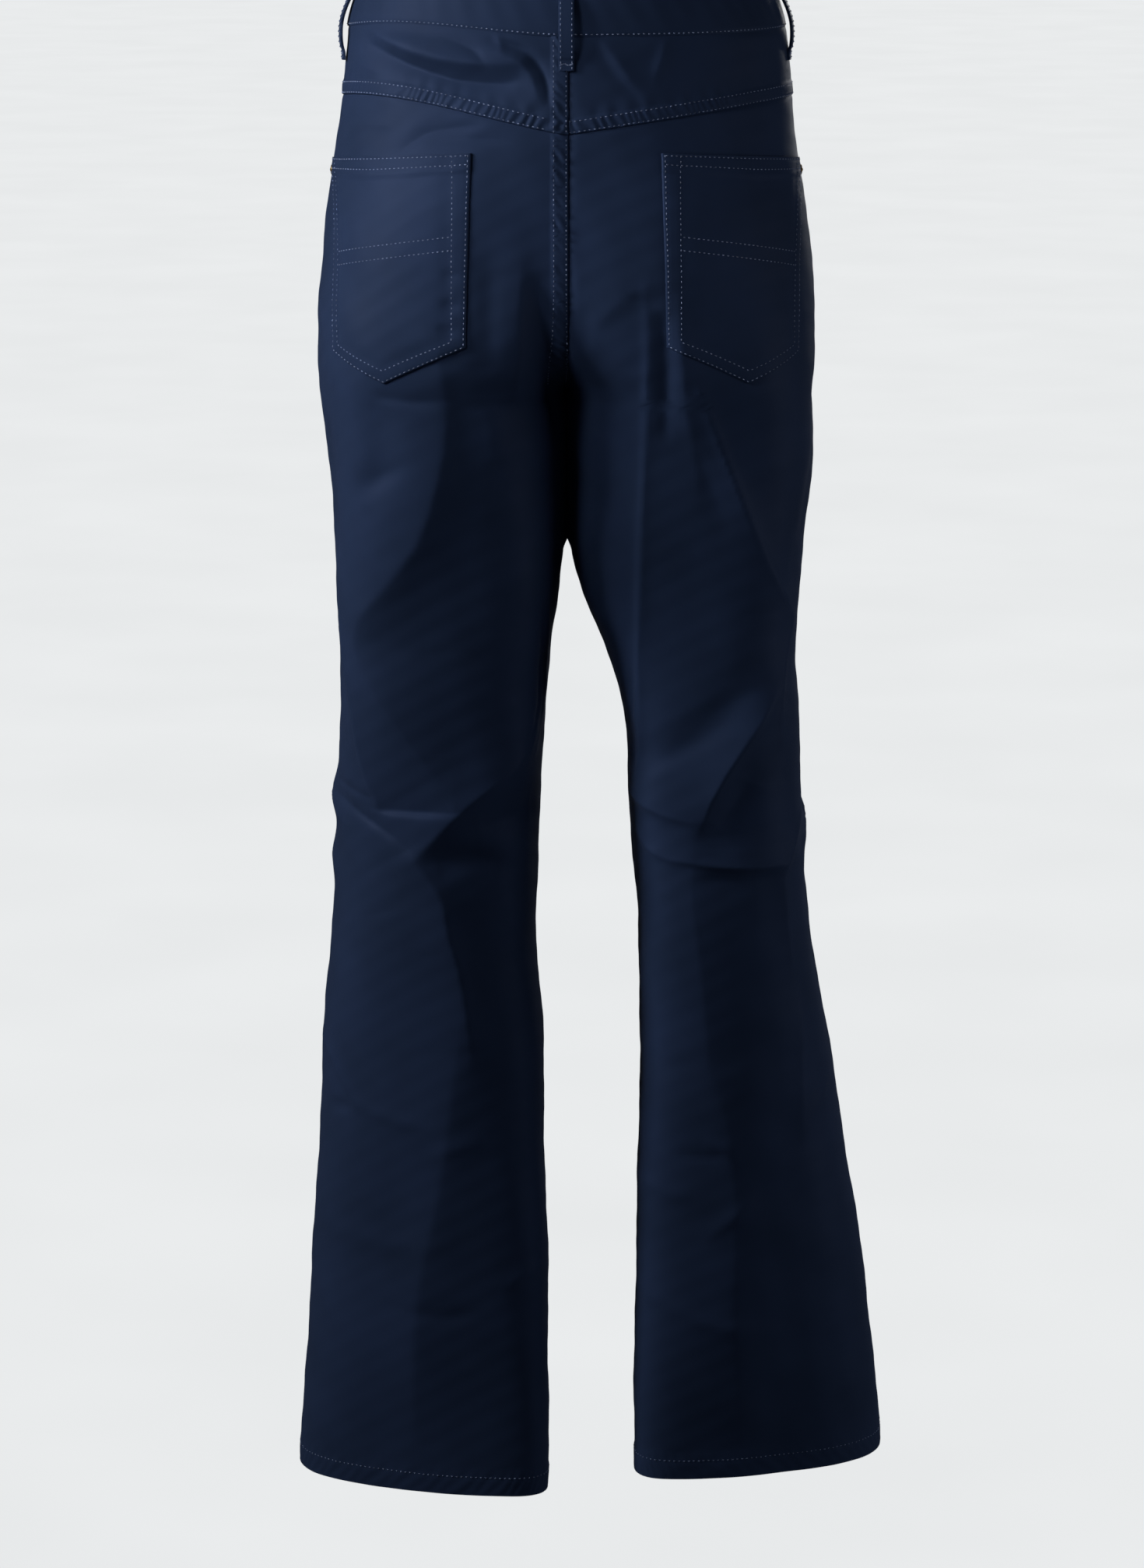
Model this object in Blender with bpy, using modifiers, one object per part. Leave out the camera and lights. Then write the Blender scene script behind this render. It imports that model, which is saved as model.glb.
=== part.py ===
"""Straight-leg trousers, filled out and hollow, built piece by piece as a maker sews them.

Metres, +Z up. The origin is the middle of the waist, level with the waistband's top edge.
The front faces -Y and the wearer's left is +X.

Every piece lies on one surface, the outside of the cloth. At a height z each half of the
garment has an oval section round its leg. Above the crotch the two ovals overlap, and the
middle plane cuts them, which draws the seat seam; below it they are closed leg tubes.
An angle of 0 is at the inseam or the middle, 90 at the back of the leg, 180 at the side
seam and 270 at the front.
"""

import math
from collections import namedtuple

import bpy
import numpy as np
from mathutils import Vector

# ---------------------------------------------------------------- driving sizes

CLOTH = 0.0012  # one layer
SEAM = 0.0003  # gap between two pieces sewn edge to edge
LAID_ON = 0.0008  # gap under a piece laid on another
SEATED = 0.0005  # gap under a belt loop's ends, the button and the rivets
FLY_GAP = 0.0012  # gap between the front and the zip behind it
BODY_ROWS, LEG_ROWS = 8, 18  # rows of a panel above and below the crotch
SIDE = 180.0  # angle of the side seam

WAISTBAND_HEIGHT = 0.036
WAISTBAND_THICK = 0.0024
WAISTBAND_PROUD = 0.0006
UNDERLAP_TURN = 20.0  # degrees by which the waistband's hidden end runs under the other

CROTCH = -0.290
CROTCH_ROW_RISE = 0.035  # the panel row that starts at the crotch climbs this much to the side
YOKE_SIDE = -0.083
YOKE_DROP = 0.0185  # how far the yoke seam falls from the side to the centre back
SEAM_RISE = {+1: 0.0065, -1: 0.0}  # the folds of the left seat pull both its seams up
HEM = {+1: -1.105, -1: -1.090}
HEM_DEPTH = 0.016

FRONT_POCKET_LOW = -0.130  # the opening's end at the side seam
FRONT_POCKET_START = 0.42  # where it leaves the waistband, as a share from centre to side
FACING_UNDER = 0.024  # how far the hip piece runs on under the front panel

LOOP_WIDTH = 0.0105
LOOP_THICK = 0.0016
LOOP_STAND = 0.0036
LOOP_TOP = -0.0015
LOOP_FOOT = -0.0585
LOOP_SEWN = 0.007  # length that lies flat at each end

BUTTON_RADIUS = 0.0085
BUTTON_X = 0.014
RIVET_RADIUS = 0.0038

# ---------------------------------------------------------------- the garment's form

# One row for each height. inner and outer are the oval's reach from the middle plane,
# back and front its deepest points, and turn is how far its inner end lies towards the
# back and its outer end towards the front.
Section = namedtuple("Section", "z inner outer back front turn")

BODY = [
    Section(0.000, -0.1420, 0.1420, 0.0980, -0.1040, 0.0),
    Section(-0.036, -0.1530, 0.1530, 0.1050, -0.1090, 0.0),
    Section(-0.083, -0.1575, 0.1575, 0.1135, -0.1125, 0.0),
    Section(-0.120, -0.1600, 0.1620, 0.1195, -0.1135, 0.0),
    Section(-0.160, -0.1550, 0.1680, 0.1245, -0.1130, 0.0),
    Section(-0.200, -0.1300, 0.1725, 0.1260, -0.1110, 0.0),
    Section(-0.235, -0.0850, 0.1755, 0.1245, -0.1080, 0.0),
    Section(-0.262, -0.0400, 0.1755, 0.1200, -0.1055, 0.0),
    Section(-0.280, -0.0110, 0.1745, 0.1150, -0.1040, 0.0),
    Section(CROTCH, 0.0000, 0.1740, 0.1120, -0.1030, 0.0),
]
LEG = {
    +1: [
        Section(-0.330, 0.0006, 0.1695, 0.1040, -0.1020, 0.0),
        Section(-0.395, 0.0010, 0.1640, 0.0930, -0.0990, 0.0),
        Section(-0.430, 0.0045, 0.1622, 0.0880, -0.0970, 0.001),
        Section(-0.475, 0.0115, 0.1603, 0.0830, -0.0950, 0.003),
        Section(-0.540, 0.0157, 0.1625, 0.0770, -0.0890, 0.007),
        Section(-0.620, 0.0200, 0.1665, 0.0700, -0.0810, 0.013),
        Section(-0.680, 0.0216, 0.1705, 0.0660, -0.0760, 0.018),
        Section(-0.750, 0.0171, 0.1765, 0.0620, -0.0710, 0.024),
        Section(-0.850, 0.0155, 0.1825, 0.0570, -0.0650, 0.031),
        Section(-0.960, 0.0130, 0.1900, 0.0510, -0.0580, 0.037),
        Section(-1.060, 0.0132, 0.1975, 0.0420, -0.0510, 0.041),
        Section(-1.110, 0.0140, 0.2005, 0.0380, -0.0490, 0.042),
    ],
    -1: [
        Section(-0.330, 0.0006, 0.1755, 0.1030, -0.1010, 0.0),
        Section(-0.395, 0.0010, 0.1700, 0.0930, -0.0980, 0.0),
        Section(-0.430, 0.0090, 0.1675, 0.0890, -0.0960, 0.001),
        Section(-0.475, 0.0272, 0.1640, 0.0850, -0.0940, 0.003),
        Section(-0.540, 0.0432, 0.1690, 0.0810, -0.0910, 0.007),
        Section(-0.620, 0.0472, 0.1710, 0.0760, -0.0860, 0.013),
        Section(-0.680, 0.0526, 0.1768, 0.0710, -0.0810, 0.018),
        Section(-0.750, 0.0545, 0.1880, 0.0650, -0.0740, 0.024),
        Section(-0.850, 0.0540, 0.2035, 0.0570, -0.0660, 0.031),
        Section(-0.960, 0.0522, 0.2205, 0.0510, -0.0590, 0.038),
        Section(-1.060, 0.0510, 0.2325, 0.0440, -0.0530, 0.044),
        Section(-1.110, 0.0505, 0.2360, 0.0400, -0.0510, 0.046),
    ],
}

# The largest folds, seen from the back (face +1) or the front (face -1). Each runs from
# one point to another; width is half its breadth, and height is above 0 for a ridge.
Fold = namedtuple("Fold", "side face x0 z0 x1 z1 width height")

FOLDS = [
    Fold(+1, +1, 0.024, -0.556, 0.092, -0.640, 0.030, -0.0050),
    Fold(+1, +1, 0.150, -0.520, 0.135, -0.590, 0.026, 0.0040),
    Fold(+1, +1, 0.080, -0.650, 0.075, -0.720, 0.030, 0.0030),
    Fold(-1, +1, 0.145, -0.530, 0.060, -0.600, 0.026, 0.0045),
    Fold(-1, +1, 0.150, -0.570, 0.110, -0.605, 0.022, -0.0045),
    Fold(-1, +1, 0.060, -0.300, 0.062, -0.400, 0.020, 0.0030),
    Fold(+1, -1, 0.040, -0.560, 0.120, -0.610, 0.030, 0.0040),
    Fold(-1, -1, 0.150, -0.590, 0.080, -0.560, 0.030, 0.0040),
]


def blend_rows(rows, name, z):
    """One column of a table at the heights z, as a smooth curve that never overshoots a row."""
    heights = np.array([-row.z for row in rows])
    values = np.array([getattr(row, name) for row in rows])
    steps = np.diff(heights)
    slopes = np.diff(values) / steps
    tangents = np.zeros(len(values))
    same_way = slopes[1:] * slopes[:-1] > 0
    mean = 2 * slopes[1:] * slopes[:-1] / np.where(same_way, slopes[1:] + slopes[:-1], 1.0)
    tangents[1:-1] = np.where(same_way, mean, 0.0)
    tangents[0], tangents[-1] = slopes[0], slopes[-1]
    depth = np.clip(-np.asarray(z, float), heights[0], heights[-1])
    k = np.clip(np.searchsorted(heights, depth, side="right") - 1, 0, len(steps) - 1)
    t = (depth - heights[k]) / steps[k]
    return (
        values[k] * (1 + 2 * t) * (1 - t) ** 2
        + values[k + 1] * (3 - 2 * t) * t**2
        + tangents[k] * steps[k] * t * (1 - t) ** 2
        + tangents[k + 1] * steps[k] * t**2 * (t - 1)
    )


def oval(side, z):
    """Centre, half width, middle depth, half depth and turn of one side's section at z."""
    rows = BODY + LEG[side]
    inner, outer, back, front, turn = (blend_rows(rows, name, z) for name in Section._fields[1:])
    return (outer + inner) / 2, (outer - inner) / 2, (back + front) / 2, (back - front) / 2, turn


def first_angle(side, z):
    """Degrees at which the section leaves the middle plane: 90 at the waist, 0 below the crotch."""
    centre, half, _, _, _ = oval(side, z)
    return np.degrees(np.arccos(np.clip((centre - SEAM / 2) / half, -1.0, 1.0)))


def angle_at(side, x, z):
    """Angle on the back of the section at a distance x from the middle plane."""
    centre, half, _, _, _ = oval(side, z)
    return np.degrees(np.arccos(np.clip((centre - x) / half, -1.0, 1.0)))


def fold_height(side, facing, x, z):
    """Sum of the folds: each is a rounded ridge or trough that fades at both its ends."""
    total = np.zeros(np.shape(x))
    for fold in FOLDS:
        if fold.side != side:
            continue
        run = np.array([fold.x1 - fold.x0, fold.z1 - fold.z0])
        length = np.hypot(*run)
        along = ((x - fold.x0) * run[0] + (z - fold.z0) * run[1]) / length
        across = ((x - fold.x0) * run[1] - (z - fold.z0) * run[0]) / length
        past_end = np.maximum(0.0, np.abs(along - length / 2) - length / 2)
        reach = np.hypot(across, past_end) / fold.width
        shows = np.clip(facing * fold.face, 0.0, 1.0)
        total += fold.height * np.exp(-(reach**2)) * shows
    return total


def on_surface(side, angle, z, lift=0.0):
    """Points on the outside of the cloth, moved out by lift."""
    angle, z, lift = np.broadcast_arrays(np.asarray(angle, float), z, lift)
    centre, half, middle, deep, turn = oval(side, z)
    turned = np.radians(angle)
    x = centre - half * np.cos(turned)
    y = middle + deep * np.sin(turned) + turn * np.cos(turned)
    out_x = -deep * np.cos(turned) + turn * np.sin(turned)
    out_y = half * np.sin(turned)
    size = np.hypot(out_x, out_y)
    out_x, out_y = out_x / size, out_y / size
    rise = lift + fold_height(side, out_y, x, z)
    return np.stack([side * (x + rise * out_x), y + rise * out_y, z], axis=-1)


# ---------------------------------------------------------------- seam lines


def waist_seam(side, share):
    """Height of the back seam under the waistband; share runs from the middle to the side."""
    return SEAM_RISE[side] * np.sin(math.pi * np.clip(share, 0.0, 1.0)) ** 1.5 - WAISTBAND_HEIGHT


def yoke_seam(side, share):
    """Height of the yoke's lower seam, a shallow V with its point at the centre back."""
    level = YOKE_SIDE - YOKE_DROP * (1 - np.sin(np.radians(90 * share))) ** 1.3
    return level + SEAM_RISE[side] * np.sin(math.pi * np.clip(share, 0.0, 1.0)) ** 1.5


def crotch_row(share):
    """Height of the panel row that starts at the crotch and climbs to the side."""
    climb = np.clip((share - 0.1) / 0.9, 0.0, 1.0)
    return CROTCH + CROTCH_ROW_RISE * climb**2 * (3 - 2 * climb)


def front_top(_, share):
    """The front panel's top edge: the waist seam, then the scoop of the pocket opening."""
    q = np.clip((share - FRONT_POCKET_START) / (1 - FRONT_POCKET_START), 0.0, 1.0)
    scoop = 1 - np.sqrt(1 - (1 - q) ** 2)
    low = FRONT_POCKET_LOW
    return np.where(share <= FRONT_POCKET_START, -WAISTBAND_HEIGHT, low + (-WAISTBAND_HEIGHT - low) * scoop)


def panel_heights(top, share, side):
    """Rows of a panel: from its top edge to the crotch row, then on to the hem."""
    t = np.linspace(0.0, 1.0, BODY_ROWS + 1)[:, None]
    down = (1 - share) * np.sin(math.pi / 2 * t) + share * t
    start = top(side, share) - SEAM
    body = start + (crotch_row(share) - start) * down
    t = np.linspace(0.0, 1.0, LEG_ROWS + 1)[1:, None]
    leg = crotch_row(share) + (HEM[side] - crotch_row(share)) * t
    return np.vstack([body, leg])


def spread(side, share, z, face):
    """Angles for shares from the middle (0) to the side seam (1) on the back or the front."""
    half_seam = np.degrees(SEAM / 2 / np.minimum(*oval(side, z)[1::2][:2]))
    first = np.maximum(first_angle(side, z), half_seam)
    angle = first + (SIDE - half_seam - first) * share
    return angle if face > 0 else 360.0 - angle


# ---------------------------------------------------------------- making solids


def clear_scene():
    for old in list(bpy.data.objects):
        bpy.data.objects.remove(old, do_unlink=True)


def material(name, colour, roughness, metallic=0.0):
    made = bpy.data.materials.new(name)
    made.use_nodes = True
    shader = made.node_tree.nodes["Principled BSDF"]
    shader.inputs["Base Color"].default_value = (*colour, 1.0)
    shader.inputs["Roughness"].default_value = roughness
    shader.inputs["Metallic"].default_value = metallic
    return made


def cloth_material(name):
    return material(name, (0.011, 0.021, 0.058), 0.45)


def brass_material(name):
    return material(name, (0.42, 0.31, 0.16), 0.35, 1.0)


def finish(obj, collection, made):
    collection.objects.link(obj)
    obj.data.materials.append(made)
    obj.data.shade_smooth()
    obj.data.set_sharp_from_angle(angle=math.radians(40))
    return obj


def grid_faces(first, rows, columns, wrap):
    """Quads of a grid whose points are numbered row by row; wrap joins its last column to its first."""
    index = first + np.arange(rows * columns).reshape(rows, columns)
    if wrap:
        index = np.hstack([index, index[:, :1]])
    corners = [index[:-1, :-1], index[:-1, 1:], index[1:, 1:], index[1:, :-1]]
    return index, np.stack(corners, axis=-1).reshape(-1, 4)


def cloth(collection, name, surface, outer, thick, outward, wrap=False):
    """A wall between two copies of a surface, at the lifts outer and outer - thick.

    surface(lift) gives a grid of points; outward says that its columns run to the wearer's
    left when seen from behind, so that the faces look out.
    """
    outside, inside = surface(outer), surface(outer - thick)
    if not outward:
        outside, inside = outside[:, ::-1], inside[:, ::-1]
    rows, columns = outside.shape[:2]
    top, front_faces = grid_faces(0, rows, columns, wrap)
    low, back_faces = grid_faces(rows * columns, rows, columns, wrap)
    edges = [(top[0], low[0], 1), (top[-1], low[-1], -1)]
    if not wrap:
        edges += [(top[:, 0], low[:, 0], -1), (top[:, -1], low[:, -1], 1)]
    if not outward:  # a mirrored wall splits its quads along the mirrored diagonal
        front_faces, back_faces = np.roll(front_faces, 1, axis=1), np.roll(back_faces, 1, axis=1)
    rims = [np.stack([o[:-1], i[:-1], i[1:], o[1:]], axis=-1)[:, ::way] for o, i, way in edges]
    faces = np.vstack([front_faces, back_faces[:, [0, 3, 2, 1]], *rims])
    mesh = bpy.data.meshes.new(name)
    points = np.vstack([outside.reshape(-1, 3), inside.reshape(-1, 3)])
    mesh.from_pydata(points.tolist(), [], faces.tolist())
    return finish(bpy.data.objects.new(name, mesh), collection, cloth_material(name))


def side_name(name, side):
    return f"{name}_{'left' if side > 0 else 'right'}"


# ---------------------------------------------------------------- the pieces


def back_shares():
    return np.linspace(0.0, 1.0, 12)


def front_shares():
    """Columns of a front panel, closer together where the pocket opening leaves the waistband."""
    before = np.linspace(0.0, FRONT_POCKET_START, 6)[:-1]
    scoop = 1 - np.cos(np.linspace(0.0, math.pi / 2, 7))
    return np.concatenate([before, FRONT_POCKET_START + (1 - FRONT_POCKET_START) * scoop])


def make_panels(collection, side):
    """Back and front, each from its top edge past the crotch and down the leg to the hem."""
    share = back_shares()
    z = panel_heights(yoke_seam, share, side)
    angle = spread(side, share, z, +1)
    cloth(collection, side_name("back", side), lambda lift: on_surface(side, angle, z, lift), 0.0, CLOTH, side > 0)

    share = front_shares()
    low = panel_heights(front_top, share, side)
    turn = spread(side, share, low, -1)
    cloth(collection, side_name("front", side), lambda lift: on_surface(side, turn, low, lift), 0.0, CLOTH, side < 0)


def make_yoke(collection, side):
    share = back_shares()
    t = np.linspace(0.0, 1.0, 4)[:, None]
    top = waist_seam(side, share) - SEAM
    z = top + (yoke_seam(side, share) - top) * t
    angle = spread(side, share, z, +1)
    cloth(collection, side_name("yoke", side), lambda lift: on_surface(side, angle, z, lift), 0.0, CLOTH, side > 0)


def make_facing(collection, side):
    """The hip piece under the front pocket opening, one layer inside the front panel."""
    share = front_shares()[3:]
    t = np.linspace(0.0, 1.0, 6)[:, None]
    top = -WAISTBAND_HEIGHT - SEAM
    bottom = FRONT_POCKET_LOW - FACING_UNDER
    z = top + (bottom - top) * t + 0.0 * share
    angle = spread(side, share, z, -1)
    name = side_name("pocket_facing", side)
    under = -(CLOTH + LAID_ON)
    cloth(collection, name, lambda lift: on_surface(side, angle, z, lift), under, CLOTH, side < 0)


def pocket_point(side, across, down):
    """Angle and height on a back pocket: across from its inner to its outer edge, down from
    its opening to its pointed lower edge."""
    opening = -0.114 - 0.011 * across
    lower = np.interp(across, [0.0, 0.52, 1.0], [-0.245, -0.272, -0.253])
    z = opening + (lower - opening) * down
    inner = angle_at(side, 0.0640 + 0.0045 * down, z)
    outer = angle_at(side, 0.1608 - 0.0005 * down, z)
    return inner + (outer - inner) * across, z


def make_back_pocket(collection, side):
    """A patch with a pointed lower edge, made from the back panel's points and moved out."""
    across = np.concatenate([np.linspace(0.0, 0.52, 6), np.linspace(0.52, 1.0, 5)[1:]])
    down = np.linspace(0.0, 1.0, 8)[:, None]
    angle, z = pocket_point(side, across, down)
    name = side_name("back_pocket", side)
    over = LAID_ON + CLOTH
    cloth(collection, name, lambda lift: on_surface(side, angle, z, lift), over, CLOTH, side > 0)


def make_waistband(collection):
    """One strip round the waist. Its right end runs on under its left end at centre front."""
    hidden = np.linspace(-180.0 - UNDERLAP_TURN, -180.0, 4)[:-1]
    around = np.concatenate([hidden, np.linspace(-180.0, 180.0, 41)])
    share = np.abs(around) / 90.0
    lower = np.where(around > 0, waist_seam(+1, share), waist_seam(-1, share))
    z = lower * np.array([0.0, 0.5, 1.0])[:, None]
    under = np.clip((-152.0 - around) / 20.0, 0.0, 1.0)
    sunk = (WAISTBAND_THICK + LAID_ON) * under**2 * (3 - 2 * under)

    def strip(lift):
        points = on_surface(+1, 90.0 + np.abs(around), z, lift - sunk)
        points[..., 0] *= np.where(around < 0, -1.0, 1.0)
        return points

    cloth(collection, "waistband", strip, WAISTBAND_PROUD, WAISTBAND_THICK, True)


def make_fly(collection):
    """The closed zip behind the centre front, and the shield behind the zip."""
    for name, left, right, low, depth in (
        ("zip", 0.024, -0.004, -0.186, CLOTH + FLY_GAP),
        ("fly_shield", 0.036, -0.012, -0.196, 2 * CLOTH + FLY_GAP + LAID_ON),
    ):
        x = np.concatenate([[right], np.linspace(0.0, left, 4)])
        z = np.linspace(-WAISTBAND_HEIGHT - 0.004, low, 7)[:, None] + 0.0 * x
        angle = 360.0 - angle_at(+1, np.abs(x), z)

        def strip(lift, x=x, z=z, angle=angle):
            points = on_surface(+1, angle, z, lift)
            points[..., 0] *= np.where(x < 0, -1.0, 1.0)
            return points

        cloth(collection, name, strip, -depth, CLOTH, False)


def loop_path():
    """A belt loop from the side: its outer face as rows of (lift, z), from its top end to its foot."""
    body = np.linspace(0.0, 1.0, 9)
    top, foot = LOOP_TOP - LOOP_SEWN, LOOP_FOOT + LOOP_SEWN
    z = np.concatenate([[LOOP_TOP], top + (foot - top) * body, [LOOP_FOOT]])
    arch = np.concatenate([[0.0], np.sin(math.pi * body) ** 0.6, [0.0]]) * LOOP_STAND
    seam_step = np.where(z < foot + 0.001, 0.0, WAISTBAND_PROUD)
    return SEATED + LOOP_THICK + seam_step + arch, z


def make_belt_loop(collection, name, around):
    """A band of cloth that stands off the waistband, at an angle round the waist from centre back."""
    side = 1 if around >= 0 else -1
    lifts, z = loop_path()
    across = np.array([-0.5, 0.0, 0.5]) * LOOP_WIDTH

    def band(lift):
        turn = 90.0 + abs(around)
        middle = on_surface(side, turn, z, lifts + lift)
        ahead = on_surface(side, turn + 1.0, z, lifts + lift) - middle
        ahead /= np.linalg.norm(ahead, axis=1, keepdims=True)
        return middle[:, None, :] + ahead[:, None, :] * across[None, :, None]

    cloth(collection, name, band, 0.0, LOOP_THICK, side > 0)


def turned_part(collection, name, profile, place, direction):
    """A round metal piece: its profile of (radius, height), turned and stood on the cloth."""
    mesh = bpy.data.meshes.new(name)
    points = [(radius, 0.0, height) for radius, height in profile]
    mesh.from_pydata(points, [(i, i + 1) for i in range(len(points) - 1)], [])
    obj = finish(bpy.data.objects.new(name, mesh), collection, brass_material(name))
    turn = obj.modifiers.new("turn", "SCREW")
    turn.steps = turn.render_steps = 16
    turn.use_merge_vertices = True
    turn.merge_threshold = 0.00001
    obj.location = place
    obj.rotation_mode = "QUATERNION"
    obj.rotation_quaternion = Vector(direction).to_track_quat("Z", "Y")
    return obj


def front_place(side, share, z, lift):
    """A point on the front of the cloth, and the way out of the cloth there."""
    z = np.array([z])
    angle = spread(side, share, z, -1)
    foot = on_surface(side, angle, z, lift)[0]
    tip = on_surface(side, angle, z, lift + 0.01)[0]
    return foot, (tip - foot) / 0.01


def make_metal(collection):
    """The waistband button, and a rivet at each end of the front pocket openings."""
    z = -WAISTBAND_HEIGHT / 2
    angle = 360.0 - float(angle_at(+1, BUTTON_X, np.array(z)))
    foot = on_surface(+1, angle, z, WAISTBAND_PROUD + SEAM)
    tip = on_surface(+1, angle, z, WAISTBAND_PROUD + SEAM + 0.01)
    face = [(0.0, 0.0036), (0.0060, 0.0040), (0.0080, 0.0036), (BUTTON_RADIUS, 0.0026)]
    back = [(0.0080, 0.0018), (0.0040, 0.0014), (0.0040, 0.0), (0.0, 0.0)]
    turned_part(collection, "waist_button", face + back, foot, (tip - foot) / 0.01)

    dome = [(0.0, 0.0016), (0.0022, 0.0014), (RIVET_RADIUS, 0.0006), (RIVET_RADIUS, 0.0), (0.0, 0.0)]
    for side in (1, -1):
        for name, share, height in (
            ("rivet_side", 0.955, FRONT_POCKET_LOW - 0.0065),
            ("rivet_waist", FRONT_POCKET_START - 0.045, -WAISTBAND_HEIGHT - 0.0065),
        ):
            foot, out = front_place(side, share, height, SEATED)
            turned_part(collection, side_name(name, side), dome, foot, out)


def make_hem(collection, side):
    """The turned-up hem: a band one layer thick inside the bottom of the leg."""
    bottom = HEM[side]
    around = np.concatenate([spread(side, back_shares(), bottom, +1), spread(side, front_shares(), bottom, -1)[::-1]])
    z = bottom + np.array([HEM_DEPTH, HEM_DEPTH / 2, 0.0])[:, None] + 0.0 * around
    name = side_name("hem", side)
    inside = -(CLOTH + LAID_ON)
    cloth(collection, name, lambda lift: on_surface(side, around, z, lift), inside, CLOTH, side > 0, wrap=True)


def main():
    clear_scene()
    trousers = bpy.data.collections.new("straight_leg_trousers")
    bpy.context.scene.collection.children.link(trousers)
    make_waistband(trousers)
    for side in (1, -1):
        make_yoke(trousers, side)
        make_panels(trousers, side)
        make_facing(trousers, side)
        make_back_pocket(trousers, side)
        make_hem(trousers, side)
    make_fly(trousers)
    make_belt_loop(trousers, "belt_loop_back", 0.0)
    for side in (1, -1):
        make_belt_loop(trousers, side_name("belt_loop_side", side), side * 84.0)
        make_belt_loop(trousers, side_name("belt_loop_front", side), side * 130.0)
    make_metal(trousers)


if __name__ == "__main__":
    main()
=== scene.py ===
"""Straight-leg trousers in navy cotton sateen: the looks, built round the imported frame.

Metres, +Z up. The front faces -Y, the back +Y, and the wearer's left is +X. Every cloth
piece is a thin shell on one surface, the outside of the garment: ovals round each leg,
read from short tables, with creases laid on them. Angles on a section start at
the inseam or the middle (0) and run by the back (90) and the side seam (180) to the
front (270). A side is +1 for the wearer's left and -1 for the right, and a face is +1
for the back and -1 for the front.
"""

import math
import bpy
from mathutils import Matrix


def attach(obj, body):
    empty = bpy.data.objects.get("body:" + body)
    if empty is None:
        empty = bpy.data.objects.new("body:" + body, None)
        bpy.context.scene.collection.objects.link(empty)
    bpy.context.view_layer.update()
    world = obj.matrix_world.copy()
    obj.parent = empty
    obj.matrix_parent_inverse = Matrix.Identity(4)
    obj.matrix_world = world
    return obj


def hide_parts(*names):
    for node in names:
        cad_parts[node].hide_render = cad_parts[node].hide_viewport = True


bl_info = {
    "name": "Straight-leg trousers",
    "version": (1, 0, 0),
    "blender": (4, 5, 0),
    "location": "3D View > Sidebar > Trousers",
    "description": "Builds navy sateen trousers piece by piece, with folds, seams and stitching",
    "category": "Add Mesh",
}

from collections import namedtuple

import bpy
import numpy as np
from bpy.props import FloatProperty, FloatVectorProperty, PointerProperty
from mathutils import Vector

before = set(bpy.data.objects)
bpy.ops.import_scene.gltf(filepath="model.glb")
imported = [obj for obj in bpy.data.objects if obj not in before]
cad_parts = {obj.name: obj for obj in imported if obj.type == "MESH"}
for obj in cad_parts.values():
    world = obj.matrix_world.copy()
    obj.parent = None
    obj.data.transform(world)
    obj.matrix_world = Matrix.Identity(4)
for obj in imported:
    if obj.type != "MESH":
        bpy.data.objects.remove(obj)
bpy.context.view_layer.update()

# ---------------------------------------------------------------- the maker's sizes

SIDES = (+1, -1)
MM = 1000.0  # in a metre

CLOTH = 0.0012  # one layer
SEAM = 0.00002  # gap between two pieces sewn edge to edge, too fine to let light through
LAID_ON = 0.0008  # gap under a piece laid on another
SEATED = 0.0005  # gap under a belt loop's ends, the button and the rivets
LAP = 0.0015  # the left side over the right one at the seat seam
SIDE = 180.0  # angle of the side seam

WAISTBAND_HEIGHT = 0.036
WAISTBAND_THICK = 0.0024
WAISTBAND_PROUD = 0.0006
WAIST_RADIUS = 0.145
UNDERLAP_TURN = 20.0  # degrees that the right end runs on under the left one

CROTCH = -0.290
CROTCH_ROW_RISE = 0.035
CLEFT = 0.026  # how far from its seam the seat sinks towards it
LEGS_PART = -0.404  # the thighs press on each other from the crotch down to here
YOKE_SIDE = -0.083
YOKE_DROP = 0.0185
YOKE_WIDTH = 0.17  # along the cloth, from the middle to the side seam
YOKE_SEEN = 0.165  # the same as seen from behind
SEAM_RISE = {+1: 0.0065, -1: 0.0}
PANEL_WIDTH = 0.25  # a leg panel from seam to seam
FRONT_WIDTH = 0.24  # a front at the hip, from the middle to the side seam
HEM = {+1: -1.105, -1: -1.090}
HEM_DEPTH = 0.016
HEM_RADIUS = 0.082

FLY_GAP = 0.0012
FLY_ROWS = (0.030, 0.036)  # from the centre front
FLY_BEND = -0.165  # where these rows turn in towards the middle
FLY_END = -0.215
FRONT_POCKET_LOW = -0.130
FRONT_POCKET_START = 0.42  # share of the front where the opening begins
FACING_START = 0.26  # and where the hip piece under it begins
FACING_UNDER = 0.024

POCKET_WIDTH, POCKET_LENGTH = 0.108, 0.140
POCKET_TOP, POCKET_FALL = -0.114, -0.011  # the opening at its inner end, and its fall outwards
POCKET_POINT = ((0.0, 0.52, 1.0), (-0.245, -0.272, -0.253))  # lower edge: shares and heights
POCKET_INNER, POCKET_OUTER = 0.0640, 0.1608  # edges at the opening, from the middle
PAIR_STARTS, PAIR_FALL = (-0.170, -0.179), -0.016  # the plain pair of rows across a pocket

LOOP_WIDTH = 0.0105
LOOP_THICK = 0.0016
LOOP_STAND = 0.0036
LOOP_TOP = -0.0015
LOOP_FOOT = -0.0585
LOOP_SEWN = 0.007

BUTTON_RADIUS = 0.0085
BUTTON_X = 0.014
RIVET_RADIUS = 0.0038
RIVET_BELOW = 0.0065  # a rivet's middle below the seam or the opening over it

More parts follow.
